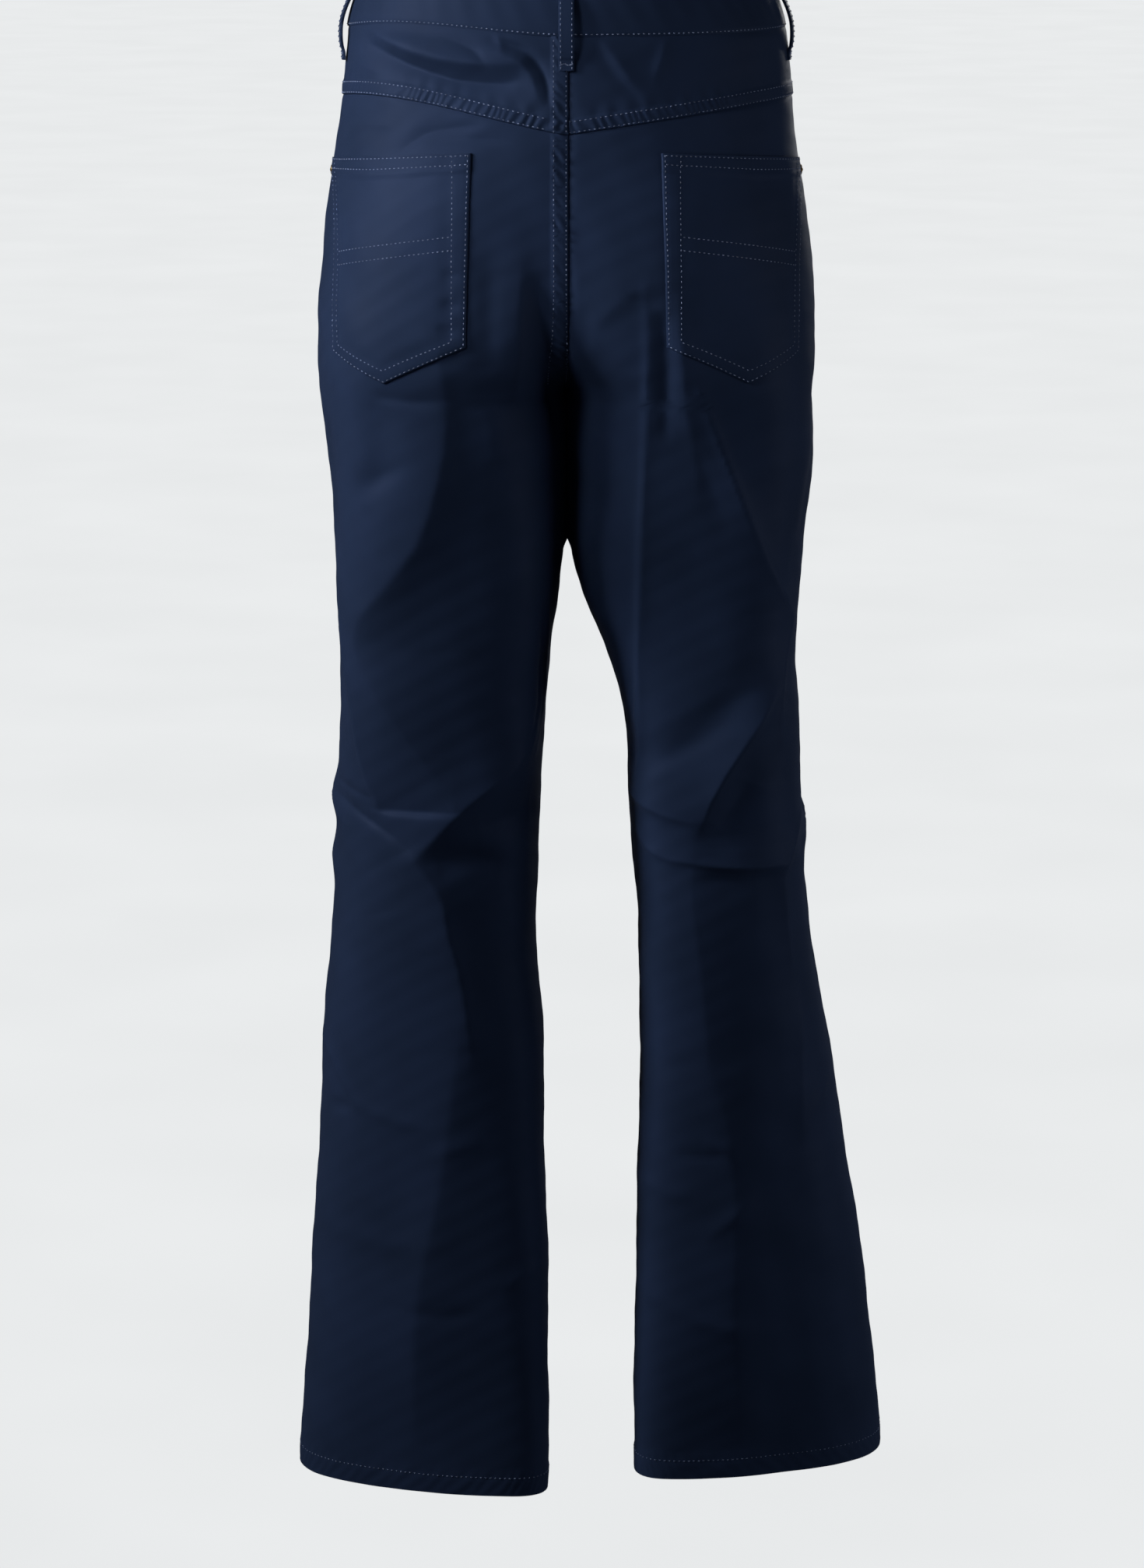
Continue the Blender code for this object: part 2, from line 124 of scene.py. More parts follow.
EDGE_ROW, SECOND_ROW = 0.0014, 0.0086  # rows of stitches, from the seam that they hold
DOUBLE_ROW = (EDGE_ROW, SECOND_ROW)
POCKET_HEM = 0.0078  # second row under a pocket's opening
HEM_ROW = 0.0144  # up from the hem's edge
DENT = 0.0007  # reach of the dent that a row presses in
ROW_POINTS = 400  # along a row of stitches, before it is cut into stitches

# ---------------------------------------------------------------- the garment's form

# One row for each height. inner and outer are the oval's reach from the middle plane,
# back and front its deepest points, and turn is how far its inner end lies towards the
# back and its outer end towards the front.
Section = namedtuple("Section", "z inner outer back front turn")

BODY = [
    Section(0.000, -0.1420, 0.1420, 0.0980, -0.1040, 0.0),
    Section(-0.036, -0.1530, 0.1530, 0.1050, -0.1090, 0.0),
    Section(-0.083, -0.1575, 0.1575, 0.1135, -0.1125, 0.0),
    Section(-0.120, -0.1600, 0.1620, 0.1195, -0.1135, 0.0),
    Section(-0.160, -0.1550, 0.1680, 0.1245, -0.1130, 0.0),
    Section(-0.200, -0.1300, 0.1725, 0.1260, -0.1110, 0.0),
    Section(-0.235, -0.0760, 0.1755, 0.1245, -0.1080, 0.0),
    Section(-0.262, -0.0260, 0.1755, 0.1200, -0.1055, 0.0),
    Section(-0.280, -0.0040, 0.1745, 0.1150, -0.1040, 0.0),
    Section(CROTCH, 0.0000, 0.1740, 0.1120, -0.1030, 0.0),
]
LEG = {
    +1: [
        Section(-0.330, 0.0006, 0.1695, 0.1065, -0.1020, 0.0),
        Section(-0.395, 0.0010, 0.1640, 0.0965, -0.0990, 0.0),
        Section(-0.430, 0.0045, 0.1622, 0.0915, -0.0970, 0.001),
        Section(-0.475, 0.0115, 0.1603, 0.0860, -0.0950, 0.003),
        Section(-0.540, 0.0157, 0.1625, 0.0785, -0.0890, 0.007),
        Section(-0.620, 0.0200, 0.1665, 0.0700, -0.0810, 0.010),
        Section(-0.680, 0.0216, 0.1705, 0.0660, -0.0760, 0.013),
        Section(-0.750, 0.0171, 0.1765, 0.0620, -0.0710, 0.017),
        Section(-0.850, 0.0155, 0.1825, 0.0570, -0.0650, 0.022),
        Section(-0.960, 0.0130, 0.1900, 0.0510, -0.0580, 0.026),
        Section(-1.060, 0.0132, 0.1975, 0.0420, -0.0510, 0.029),
        Section(-1.110, 0.0140, 0.2005, 0.0380, -0.0490, 0.030),
    ],
    -1: [
        Section(-0.330, 0.0006, 0.1755, 0.0995, -0.1010, 0.0),
        Section(-0.395, 0.0010, 0.1700, 0.0880, -0.0980, 0.0),
        Section(-0.430, 0.0090, 0.1675, 0.0840, -0.0960, 0.001),
        Section(-0.475, 0.0272, 0.1640, 0.0810, -0.0940, 0.003),
        Section(-0.540, 0.0432, 0.1690, 0.0785, -0.0910, 0.007),
        Section(-0.620, 0.0472, 0.1710, 0.0745, -0.0860, 0.007),
        Section(-0.680, 0.0526, 0.1768, 0.0710, -0.0810, 0.009),
        Section(-0.750, 0.0545, 0.1880, 0.0650, -0.0740, 0.012),
        Section(-0.850, 0.0540, 0.2035, 0.0570, -0.0660, 0.016),
        Section(-0.960, 0.0522, 0.2205, 0.0510, -0.0590, 0.021),
        Section(-1.060, 0.0510, 0.2325, 0.0440, -0.0530, 0.027),
        Section(-1.110, 0.0505, 0.2360, 0.0400, -0.0510, 0.030),
    ],
}

# How square the back of each leg hangs, and how deep the seat seam sinks, by height.
Shape = namedtuple("Shape", "z square sunk")

SHAPE = {
    +1: [
        Shape(0.0, 0.0, 0.0),
        Shape(-0.070, 0.0, 0.0),
        Shape(-0.130, 0.014, 0.0024),
        Shape(-0.180, 0.026, 0.0030),
        Shape(-0.215, 0.028, 0.0046),
        Shape(-0.240, 0.030, 0.0080),
        Shape(-0.262, 0.032, 0.0050),
        Shape(-0.285, 0.034, 0.0),
        Shape(-0.330, 0.040, 0.0),
        Shape(-0.420, 0.050, 0.0),
        Shape(-0.520, 0.045, 0.0),
        Shape(-0.580, 0.028, 0.0),
        Shape(-0.750, 0.030, 0.0),
        Shape(-1.110, 0.045, 0.0),
    ],
    -1: [
        Shape(0.0, 0.0, 0.0),
        Shape(-0.070, 0.0, 0.0),
        Shape(-0.130, 0.014, 0.0024),
        Shape(-0.180, 0.024, 0.0030),
        Shape(-0.215, 0.030, 0.0046),
        Shape(-0.240, 0.034, 0.0080),
        Shape(-0.262, 0.038, 0.0050),
        Shape(-0.285, 0.042, 0.0),
        Shape(-0.330, 0.045, 0.0),
        Shape(-0.420, 0.060, 0.0),
        Shape(-0.520, 0.060, 0.0),
        Shape(-0.620, 0.055, 0.0),
        Shape(-0.750, 0.048, 0.0),
        Shape(-1.110, 0.050, 0.0),
    ],
}

# ---------------------------------------------------------------- creases, laid one by one

# All in millimetres. A crease is its rise, below 0 for a trough, its half breadths on the
# left and the right hand of someone walking along it on the outside of the cloth, its
# crispness, 2 for a soft crest and 1 for a sharp one, and the points of its path. A point
# is its distance from the middle plane and its depth below the waist. On the outer side of
# the leg it is its y and its depth.
CREASES = {
    "back": {
        +1: [
            # pouch that the waist seam pulls up in the left yoke, with its deep underside
            (5.6, 10, 7, 1.5, [(130, 38), (112, 45), (92, 50), (72, 53), (46, 54), (32, 53)]),
            (-5.6, 7, 8, 1.25, [(136, 45), (122, 52), (107, 58), (90, 63), (73, 67), (46, 68),
                (34, 66)]),
            (-1.6, 3, 3, 1.5, [(82, 38), (66, 44), (54, 54)]),
            (-3, 3, 3.4, 1.4, [(50, 39), (30, 45), (18.5, 56), (13, 68), (12, 79)]),
            (1.6, 3, 4, 1.5, [(52, 45), (35, 51), (24.5, 62), (19.5, 75)]),
            (1.4, 3.5, 3.5, 1.6, [(48, 33), (43, 46)]),
            (0.7, 5, 5, 2, [(148, 58), (128, 62)]),
            # drag lines under the yoke
            (-1.6, 4.5, 3, 1.4, [(114, 116), (106, 110), (96, 103), (80, 99), (62, 96)]),
            (-1.2, 4, 3, 1.4, [(96, 108), (72, 106), (36, 105)]),
            (0.7, 4.5, 3.5, 1.8, [(142, 99), (120, 98)]),
            # the pocket lies flat, with a blunt edge along its inner side
            (2.6, 18, 50, 1.5, [(66, 100), (66, 160), (68, 215), (72, 258)]),
            # dimples along the pocket's inner edge
            (-1.1, 4, 4, 2, [(83, 194), (73, 197)]),
            (-1.3, 4, 4, 2, [(84, 214), (73, 218)]),
            (-1.4, 4, 4, 2, [(88, 231), (74, 236)]),
            # soft upright and the deep hollow beside the seat seam
            (4, 8, 20, 1.3, [(30, 196), (33, 240), (37, 285)]),
            (-7.4, 10, 11, 1.6, [(20, 204), (14, 236), (9, 270), (8, 305)]),
            (-1.2, 7, 8, 2, [(52, 190), (53, 255)]),
            # the fold under the seat, and the long ridge that curves down the thigh
            (-2.2, 8, 4, 1.5, [(130, 282), (105, 284), (80, 283)]),
            (10, 26, 50, 1.2, [(88, 252), (83, 290), (85, 322), (92, 352), (100, 378), (113, 402),
                (130, 426), (143, 452), (140, 478), (128, 502), (110, 530), (92, 556)]),
            (-2.6, 14, 14, 2, [(130, 288), (128, 320), (136, 360)]),
            (-2.2, 10, 8, 1.7, [(112, 330), (128, 338), (146, 350)]),
            # the inner side of the thigh
            (3, 20, 34, 1.9, [(47, 240), (46, 285), (46, 340), (42, 400), (36, 470)]),
            (1.6, 8, 8, 2, [(60, 288), (52, 300), (50, 330)]),
            (-1.8, 10, 10, 2, [(78, 262), (74, 300), (70, 370)]),
            # outer upright, as sharp as a pressed edge
            (3, 10, 5, 1, [(156, 430), (152, 470), (147, 515), (142, 555), (134, 580)]),
            # the knee's break: a ridge from the inseam down to a point, and on down the shin
            (8, 14, 26, 1.15, [(22, 520), (30, 540), (46, 557), (70, 577), (88, 595), (107, 618)]),
            (8.4, 14, 34, 1.15, [(111, 610), (98, 630), (88, 648), (84, 672), (76, 704), (68, 760)]),
            (-4, 12, 12, 1.8, [(62, 594), (44, 590), (26, 586)]),
            (-3.4, 8, 10, 1.7, [(92, 618), (70, 616), (46, 622)]),
            # level fold that ends the facet above the knee
            (-3.6, 15, 2.4, 1.25, [(134, 584), (106, 583), (80, 582)]),
            # creases that run in from the side seam
            (-3, 9, 3.4, 1.2, [(164, 583), (147, 590), (132, 597), (118, 605), (108, 613)]),
            (-1.2, 4, 3, 1.4, [(162, 572), (150, 574), (138, 577)]),
            # inner side
            (-1.8, 4, 4, 1.3, [(17, 440), (18, 480), (22, 515), (34, 548)]),
            (1.4, 3, 3, 1.2, [(13, 440), (15, 480), (18, 520), (24, 545)]),
            # the shin's light folds, and the ridge down its middle to the hem
            (1.6, 5, 5, 1.3, [(178, 768), (166, 788), (154, 806)]),
            (-1.8, 4, 4, 1.4, [(174, 815), (156, 812)]),
            (1.5, 5, 6, 1.3, [(158, 807), (142, 811), (128, 815), (96, 819)]),
            (1.2, 6, 6, 1.6, [(92, 838), (76, 833), (60, 829)]),
            (1.1, 9, 9, 1.8, [(172, 906), (130, 912), (88, 908)]),
            (-1.1, 6, 6, 1.6, [(128, 960), (96, 964), (66, 962)]),
            (1.4, 5, 5, 1.4, [(18, 926), (30, 932), (44, 940)]),
            (5.6, 34, 26, 1.3, [(76, 745), (90, 860), (108, 960), (112, 1066)]),
        ],
        -1: [
            # small pulls in the right yoke, and the pocket's blunt inner edge
            (1.8, 6, 5, 1.6, [(23, 38), (30, 48), (44, 66)]),
            (-1.2, 4, 6, 1.8, [(20, 41), (33, 60), (50, 80)]),
            (1.4, 6, 4, 1.8, [(68, 40), (64, 52), (60, 64)]),
            (2.4, 34, 30, 1.6, [(72, 104), (72, 170), (74, 258)]),
            # pull from the crotch up to the seat
            (1.1, 10, 8, 1.6, [(14, 256), (24, 228), (40, 210), (60, 200)]),
            (-1.2, 4, 4, 1.6, [(44, 210), (54, 213), (62, 218)]),
            # two uprights that hang from the seat, and the crease that crosses to the side seam
            (1.8, 10, 3.6, 1.2, [(53, 204), (56, 240), (55.5, 300), (53, 380), (51, 460), (50, 545)]),
            (1.1, 3, 2.2, 1, [(53.5, 222), (55, 262), (54.5, 320), (52, 385), (50, 460), (49.5, 530)]),
            (-2.4, 5, 5, 1.8, [(66, 225), (68, 262), (69, 310)]),
            (2.8, 8, 8, 1.4, [(77, 215), (80, 262), (84, 300), (92, 345)]),
            (5.2, 13, 28, 1.15, [(88, 262), (100, 304), (118, 354), (134, 395), (150, 426),
                (158, 446)]),
            (2.4, 3, 3, 1, [(92, 277), (106, 314), (121, 354), (137, 395), (154, 434)]),
            (-1.4, 6, 10, 2, [(80, 300), (94, 336), (110, 372)]),
            # slanting facet that drops off on its outer side
            (11.8, 11, 21, 1.08, [(146, 496), (137, 513), (124, 533), (111, 555), (102, 574),
                (97, 590)]),
            (3.4, 16, 4.5, 1.25, [(46, 575), (62, 582), (80, 587), (97, 589)]),
            (-3.4, 14, 12, 2, [(50, 545), (80, 536), (108, 514), (132, 486)]),
            (-3.6, 14, 10, 1.8, [(128, 560), (118, 580), (108, 594)]),
            # level ridge below it, undercut along its lower edge
            (2.4, 11, 3.4, 1.15, [(50, 600), (58, 611), (72, 617), (96, 619)]),
            (3.6, 12, 3.2, 1.15, [(92, 620), (120, 623), (154, 624)]),
            (-1.6, 5, 12, 1.8, [(96, 632), (125, 633), (150, 632)]),
            (5.2, 36, 30, 1.15, [(90, 616), (90, 650), (96, 700), (102, 770)]),
            # outer facets
            (2.6, 8, 4.5, 1.05, [(158, 446), (151, 475), (149, 505), (152, 535)]),
            (3.6, 8, 8, 1.05, [(168, 588), (160, 612), (154, 630), (156, 660), (161, 700)]),
            # inseam
            (1.4, 4, 4, 1.2, [(52, 480), (53, 520), (51, 560)]),
            # the shin's light folds, and the ridge down its middle to the hem
            (-1.3, 4, 4, 1.3, [(82, 838), (98, 840), (114, 838)]),
            (1.4, 5, 5, 1.4, [(98, 828), (112, 832), (118, 842)]),
            (1.6, 8, 8, 1.6, [(56, 862), (74, 868), (92, 870)]),
            (1.4, 6, 6, 1.4, [(130, 876), (114, 890), (100, 902)]),
            (10, 60, 50, 1.25, [(100, 765), (118, 830), (121, 900), (121, 971), (128, 1066)]),
            (1.3, 7, 7, 1.5, [(54, 944), (80, 956), (104, 968), (156, 976)]),
            (1.4, 6, 6, 1.4, [(168, 730), (169, 780), (170, 830)]),
            (1.2, 5, 5, 1.4, [(190, 786), (180, 808), (171, 830)]),
        ],
    },
    # over the hip and round the outer side of the knee
    "outer": {
        +1: [
            (-1.6, 16, 16, 2, [(45, 300), (30, 380), (20, 455)]),
            (4.2, 8, 15, 1.3, [(30, 600), (-10, 585), (-50, 592)]),
            (2.4, 10, 12, 1.6, [(20, 640), (-20, 630), (-55, 640)]),
        ],
        -1: [
            (-1.8, 16, 16, 2, [(20, 300), (35, 370), (50, 430)]),
            (4, 8, 15, 1.3, [(20, 620), (-20, 600), (-55, 606)]),
        ],
    },
    # the front hangs as the back does: pulls from the fly and the crotch, and a broken knee
    "front": {
        +1: [
            (3.6, 8, 12, 1.35, [(6, 268), (40, 244), (82, 232), (120, 228)]),
            (2.8, 7, 10, 1.4, [(10, 292), (44, 276), (86, 272)]),
            (-2.2, 8, 8, 1.7, [(8, 236), (36, 216), (70, 206)]),
            (1.7, 6, 8, 1.6, [(60, 160), (84, 172), (112, 178)]),
            (4, 24, 26, 1.4, [(70, 290), (76, 380), (82, 470)]),
            (6.6, 9, 20, 1.15, [(30, 552), (62, 566), (100, 566), (140, 552)]),
            (4.2, 8, 15, 1.25, [(40, 596), (76, 606), (116, 600), (146, 588)]),
            (-3.2, 10, 12, 1.7, [(52, 530), (80, 522), (118, 528)]),
            (4.4, 28, 28, 1.3, [(90, 630), (94, 760), (100, 960)]),
            (3.2, 12, 22, 1.3, [(152, 302), (122, 352), (94, 412)]),
            (1.9, 6, 8, 1.5, [(40, 760), (78, 772), (120, 768)]),
            (2, 7, 10, 1.6, [(36, 905), (80, 914), (130, 902)]),
        ],
        -1: [
            (3.4, 12, 8, 1.35, [(6, 262), (44, 236), (90, 228)]),
            (2.8, 10, 7, 1.4, [(10, 290), (50, 270), (98, 270), (130, 276)]),
            (-2.2, 8, 8, 1.7, [(6, 230), (30, 208), (62, 196)]),
            (1.7, 8, 6, 1.6, [(66, 156), (92, 168), (120, 170)]),
            (4, 26, 24, 1.4, [(84, 292), (90, 380), (96, 480)]),
            (6.2, 20, 9, 1.15, [(58, 566), (92, 578), (128, 572), (158, 558)]),
            (4, 15, 8, 1.25, [(62, 614), (100, 618), (140, 606)]),
            (-3.2, 12, 10, 1.7, [(70, 536), (104, 530), (140, 540)]),
            (4.4, 28, 28, 1.3, [(112, 640), (120, 780), (136, 980)]),
            (2.8, 20, 12, 1.3, [(44, 336), (80, 372), (118, 424)]),
            (1.9, 8, 6, 1.5, [(70, 800), (110, 812), (150, 804)]),
            (2, 10, 7, 1.6, [(70, 930), (120, 936), (172, 922)]),
        ],
    },
}


def blend_rows(rows, name, z):
    """One column of a table at the heights z: a cubic through its rows whose slope at a row
    is the harmonic mean of the slopes on either side, so that it never overshoots."""
    heights = np.array([-row.z for row in rows])
    values = np.array([getattr(row, name) for row in rows])
    steps = np.diff(heights)
    slopes = np.diff(values) / steps
    tangents = np.zeros(len(values))
    same_way = slopes[1:] * slopes[:-1] > 0
    mean = 2 * slopes[1:] * slopes[:-1] / np.where(same_way, slopes[1:] + slopes[:-1], 1.0)
    tangents[1:-1] = np.where(same_way, mean, 0.0)
    tangents[0], tangents[-1] = slopes[0], slopes[-1]
    depth = np.clip(-np.asarray(z, float), heights[0], heights[-1])
    k = np.clip(np.searchsorted(heights, depth, side="right") - 1, 0, len(steps) - 1)
    t = (depth - heights[k]) / steps[k]
    return (
        values[k] * (1 + 2 * t) * (1 - t) ** 2
        + values[k + 1] * (3 - 2 * t) * t**2
        + tangents[k] * steps[k] * t * (1 - t) ** 2
        + tangents[k + 1] * steps[k] * t**2 * (t - 1)
    )


def smooth(x):
    """0 below 0, 1 above 1, and an even S between."""
    x = np.clip(x, 0.0, 1.0)
    return x * x * (3 - 2 * x)


def bell(distance, reach):
    """1 at no distance, falling away on both sides as exp(-(distance / reach) ** 2)."""
    return np.exp(-((distance / reach) ** 2))


def oval(side, z):
    """Centre, half width, middle depth, half depth and turn of one side's section at z."""
    rows = BODY + LEG[side]
    inner, outer, back, front, turn = (blend_rows(rows, name, z) for name in Section._fields[1:])
    return (outer + inner) / 2, (outer - inner) / 2, (back + front) / 2, (back - front) / 2, turn


def angle_at(side, x, z, face=+1):
    """Angle, between the middle and the side, of a section at a distance x from the middle. On
    the back the squared ellipse is undone by repeated guesses."""
    centre, half, _, _, _ = oval(side, z)
    cos = wide = np.clip((centre - x) / half, -1.0, 1.0)
    if face > 0:
        square = blend_rows(SHAPE[side], "square", z)
        for _ in range(30):
            cos = np.clip((1 - square) * wide + square * (4 * cos**3 - 3 * cos), -1.0, 1.0)
    return np.degrees(np.arccos(cos))


def spread(side, share, z, face):
    """Angles for shares from the middle (0) to the side seam (1) on the back or the front."""
    _, half, _, deep, _ = oval(side, z)
    half_seam = np.degrees(SEAM / 2 / np.minimum(half, deep))
    first = np.maximum(angle_at(side, SEAM / 2, z, face), half_seam)
    angle = first + (SIDE - half_seam - first) * share
    return angle if face > 0 else 360.0 - angle


def share_at(side, x, z, face=+1):
    """The share across the back or the front at a distance x from the middle plane."""
    first = angle_at(side, SEAM / 2, z, face)
    return np.clip((angle_at(side, x, z, face) - first) / (SIDE - first), 0.0, 1.0)


def form(side, angle, z):
    """Points of the smooth form and its level way out: an ellipse of the section's half width
    and half depth, sheared by turn. On the back it is squared by its third harmonic, and the
    seat sinks towards the seam as a bell curve does."""
    angle, z = np.broadcast_arrays(np.asarray(angle, float), z)
    centre, half, middle, deep, turn = oval(side, z)
    square = np.where(angle < SIDE, blend_rows(SHAPE[side], "square", z), 0.0)
    turned = np.radians(angle)
    cos, sin = np.cos(turned), np.sin(turned)
    wide = (cos - square * np.cos(3 * turned)) / (1 - square)
    far = (sin + square * np.sin(3 * turned)) / (1 - square)
    wide_slope = (-sin + 3 * square * np.sin(3 * turned)) / (1 - square)
    far_slope = (cos + 3 * square * np.cos(3 * turned)) / (1 - square)
    x = centre - half * wide
    sunk = blend_rows(SHAPE[side], "sunk", z) * bell(x, CLEFT) * (angle < SIDE)
    y = middle + deep * far + turn * cos - sunk
    x_slope = -half * wide_slope
    y_slope = deep * far_slope - turn * sin + sunk * 2 * x / CLEFT**2 * x_slope
    size = np.hypot(x_slope, y_slope)
    points = np.stack([side * x, y, z], axis=-1)
    out = np.stack([-side * y_slope / size, x_slope / size, np.zeros_like(x)], axis=-1)
    return points, out


def crease_line(side, seen, path):
    """Points on the smooth form along a crease: a Catmull-Rom curve through its path, with a
    point about every 5 mm. seen says from where the path is seen."""
    path = np.array(path) / (MM, -MM)
    knots = np.vstack([2 * path[0] - path[1], path, 2 * path[-1] - path[-2]])
    found = []
    for a, b, c, d in zip(knots[:-3], knots[1:-2], knots[2:-1], knots[3:]):
        count = max(2, int(np.hypot(*(c - b)) / 0.005) + 1)
        t = np.linspace(0.0, 1.0, count, endpoint=False)[:, None]
        bend, twist = 2 * a - 5 * b + 4 * c - d, 3 * b - a - 3 * c + d
        found.append(0.5 * (2 * b + (c - a) * t + bend * t**2 + twist * t**3))
    u, z = np.vstack([*found, path[-1:]]).T
    if seen == "outer":
        _, _, middle, deep, _ = oval(side, z)
        angle = SIDE - np.degrees(np.arcsin(np.clip((u - middle) / deep, -1.0, 1.0)))
    elif seen == "back":
        angle = angle_at(side, u, z)
    else:
        angle = 360.0 - angle_at(side, u, z, -1)
    return form(side, angle, z)[0]


def crease_shape(line, left, right, crisp, points, out):
    """How much of a crease's rise each point has: exp(-(distance / breadth) ** crisp), where
    the breadth goes from its right to its left value across the line. It grows from nothing
    at both ends as the square root of a half wave."""
    start, run = line[:-1], np.diff(line, axis=0)
    length = np.linalg.norm(run, axis=1)
    before = np.concatenate([[0.0], np.cumsum(length)[:-1]])
    away = points[:, None, :] - start
    t = np.clip(np.einsum("pmk,mk->pm", away, run) / length**2, 0.0, 1.0)
    away = away - t[..., None] * run
    distance = np.linalg.norm(away, axis=-1)
    near = np.argmin(distance, axis=1)
    pick = np.arange(len(points)), near
    distance, away, way = distance[pick], away[pick], run[near] / length[near, None]
    along = (before[near] + t[pick] * length[near]) / length.sum()
    leftward = np.einsum("pk,pk->p", away, np.cross(out, way)) / np.maximum(distance, 1e-9)
    breadth = right + (left - right) * smooth(leftward * 0.75 + 0.5)
    grown = np.sqrt(np.sin(math.pi * np.clip(0.04 + 0.92 * along, 0.0, 1.0)))
    return grown * np.exp(-((distance / breadth) ** crisp))


def ripple(points):
    """Slight unevenness of worn cloth: slow waves of three lengths that cross each other."""
    x, y, z = points.T
    wide = np.sin(31 * x + 23 * z + 1.3) * np.sin(27 * y - 19 * z + 0.4) * 0.0009
    mid = np.sin(83 * x - 61 * z + 2.1) * np.sin(71 * y + 57 * z + 4.0) * 0.00050
    fine = np.sin(190 * x + 150 * z + 0.7) * np.sin(160 * y - 210 * z + 2.6) * 0.00016
    return wide + mid + fine


def fold_height(side, points, out):
    """Sum of all creases on one side of the garment and of the ripple. It fades to nothing at
    the waistband and at the seat seam, where the two sides are sewn together."""
    shape = points.shape[:-1]
    points, out = points.reshape(-1, 3), out.reshape(-1, 3)
    total = ripple(points)
    depth = bpy.context.scene.trousers_cloth.fold_depth
    for seen, creases in CREASES.items():
        for rise, left, right, crisp, path in creases[side]:
            line = crease_line(side, seen, path)
            reach = 2.6 * max(left, right) / MM
            near = np.all((points > line.min(0) - reach) & (points < line.max(0) + reach), axis=1)
            if near.any():
                grown = crease_shape(line, left / MM, right / MM, crisp, points[near], out[near])
                total[near] += depth * rise / MM * grown
    sewn_in = smooth((-0.030 - points[:, 2]) / 0.012)
    middle = smooth((np.abs(points[:, 0]) - 0.001) / 0.009)
    above = smooth((points[:, 2] - CROTCH + 0.03) / 0.03)
    return (total * sewn_in * (1 - above * (1 - middle))).reshape(shape)


def skin(side, angle, z, lift):
    """Points on the outside of the creased cloth, moved out by lift. Below the crotch the
    thighs swell and press on each other, along a face that waves from side to side."""
    points, out = form(side, angle, z)
    x, y, z = np.moveaxis(points, -1, 0)
    pressed = smooth((CROTCH + 0.004 - z) / 0.01) * smooth((z - LEGS_PART) / 0.012)
    swell = 0.0040 * pressed * bell(y, 0.05) * smooth(1 - np.abs(x) / 0.04)
    rise = fold_height(side, points, out) + swell + lift
    moved = points + out * rise[..., None]
    face = 0.0012 * np.sin(2 * math.pi * moved[..., 1] / 0.024) * pressed
    moved[..., 0] = face + side * np.maximum(side * (moved[..., 0] - face), SEAM / 2)
    return moved, out


# ---------------------------------------------------------------- seam lines


def waist_seam(side, share):
    """Height of the back seam under the waistband; share runs from the middle to the side."""
    return SEAM_RISE[side] * np.sin(math.pi * np.clip(share, 0.0, 1.0)) ** 1.5 - WAISTBAND_HEIGHT


def yoke_seam(side, share):
    """Height of the yoke's lower seam, a shallow V with its point at the centre back."""
    level = YOKE_SIDE - YOKE_DROP * (1 - np.sin(np.radians(90 * share))) ** 1.3
    return level + SEAM_RISE[side] * np.sin(math.pi * np.clip(share, 0.0, 1.0)) ** 1.5


def crotch_row(share):
    """Height of the panel row that starts at the crotch and climbs to the side."""
    return CROTCH + CROTCH_ROW_RISE * smooth((share - 0.1) / 0.9)


def front_top(_, share):
    """The front panel's top edge: the waist seam, then the scoop of the pocket opening, a
    quarter of an ellipse."""
    q = np.clip((share - FRONT_POCKET_START) / (1 - FRONT_POCKET_START), 0.0, 1.0)
    scoop = FRONT_POCKET_LOW - (WAISTBAND_HEIGHT + FRONT_POCKET_LOW) * (1 - np.sqrt(1 - (1 - q) ** 2))
    return np.where(share <= FRONT_POCKET_START, -WAISTBAND_HEIGHT, scoop)


def pocket_edges(across):
    """Heights of a back pocket's opening and of its pointed lower edge; across runs from its
    inner to its outer edge."""
    return POCKET_TOP + POCKET_FALL * across, np.interp(across, *POCKET_POINT)


def band_bottom(around):
    """Height of the waistband's lower edge; around is the angle from the centre back, below 0
    on the wearer's right."""
    share = np.abs(around) / 90.0
    return np.where(around > 0, waist_seam(+1, share), waist_seam(-1, share))


def graded(length, places, steps):
    """Shares from 0 to 1 of a length, an odd number of them, whose spacing in metres goes
    through the steps at the places."""
    fine = np.linspace(0.0, 1.0, 2001)
    rate = length / np.interp(fine, places, steps)
    count = np.concatenate([[0.0], np.cumsum((rate[1:] + rate[:-1]) / 2 * np.diff(fine))])
    total = 2 * math.ceil(count[-1] / 2)
    return np.interp(np.linspace(0.0, count[-1], total + 1), count, fine)


def panel_heights(top, share, side, body, leg):
    """Rows of a panel: from its top edge to the crotch row, then on to the hem."""
    t = body[:, None]
    down = (1 - share) * np.sin(math.pi / 2 * t) + share * t
    start = top(side, share) - SEAM
    upper = start + (crotch_row(share) - start) * down
    lower = crotch_row(share) + (HEM[side] - crotch_row(share)) * leg[1:, None]
    return np.vstack([upper, lower])


# ---------------------------------------------------------------- meshes


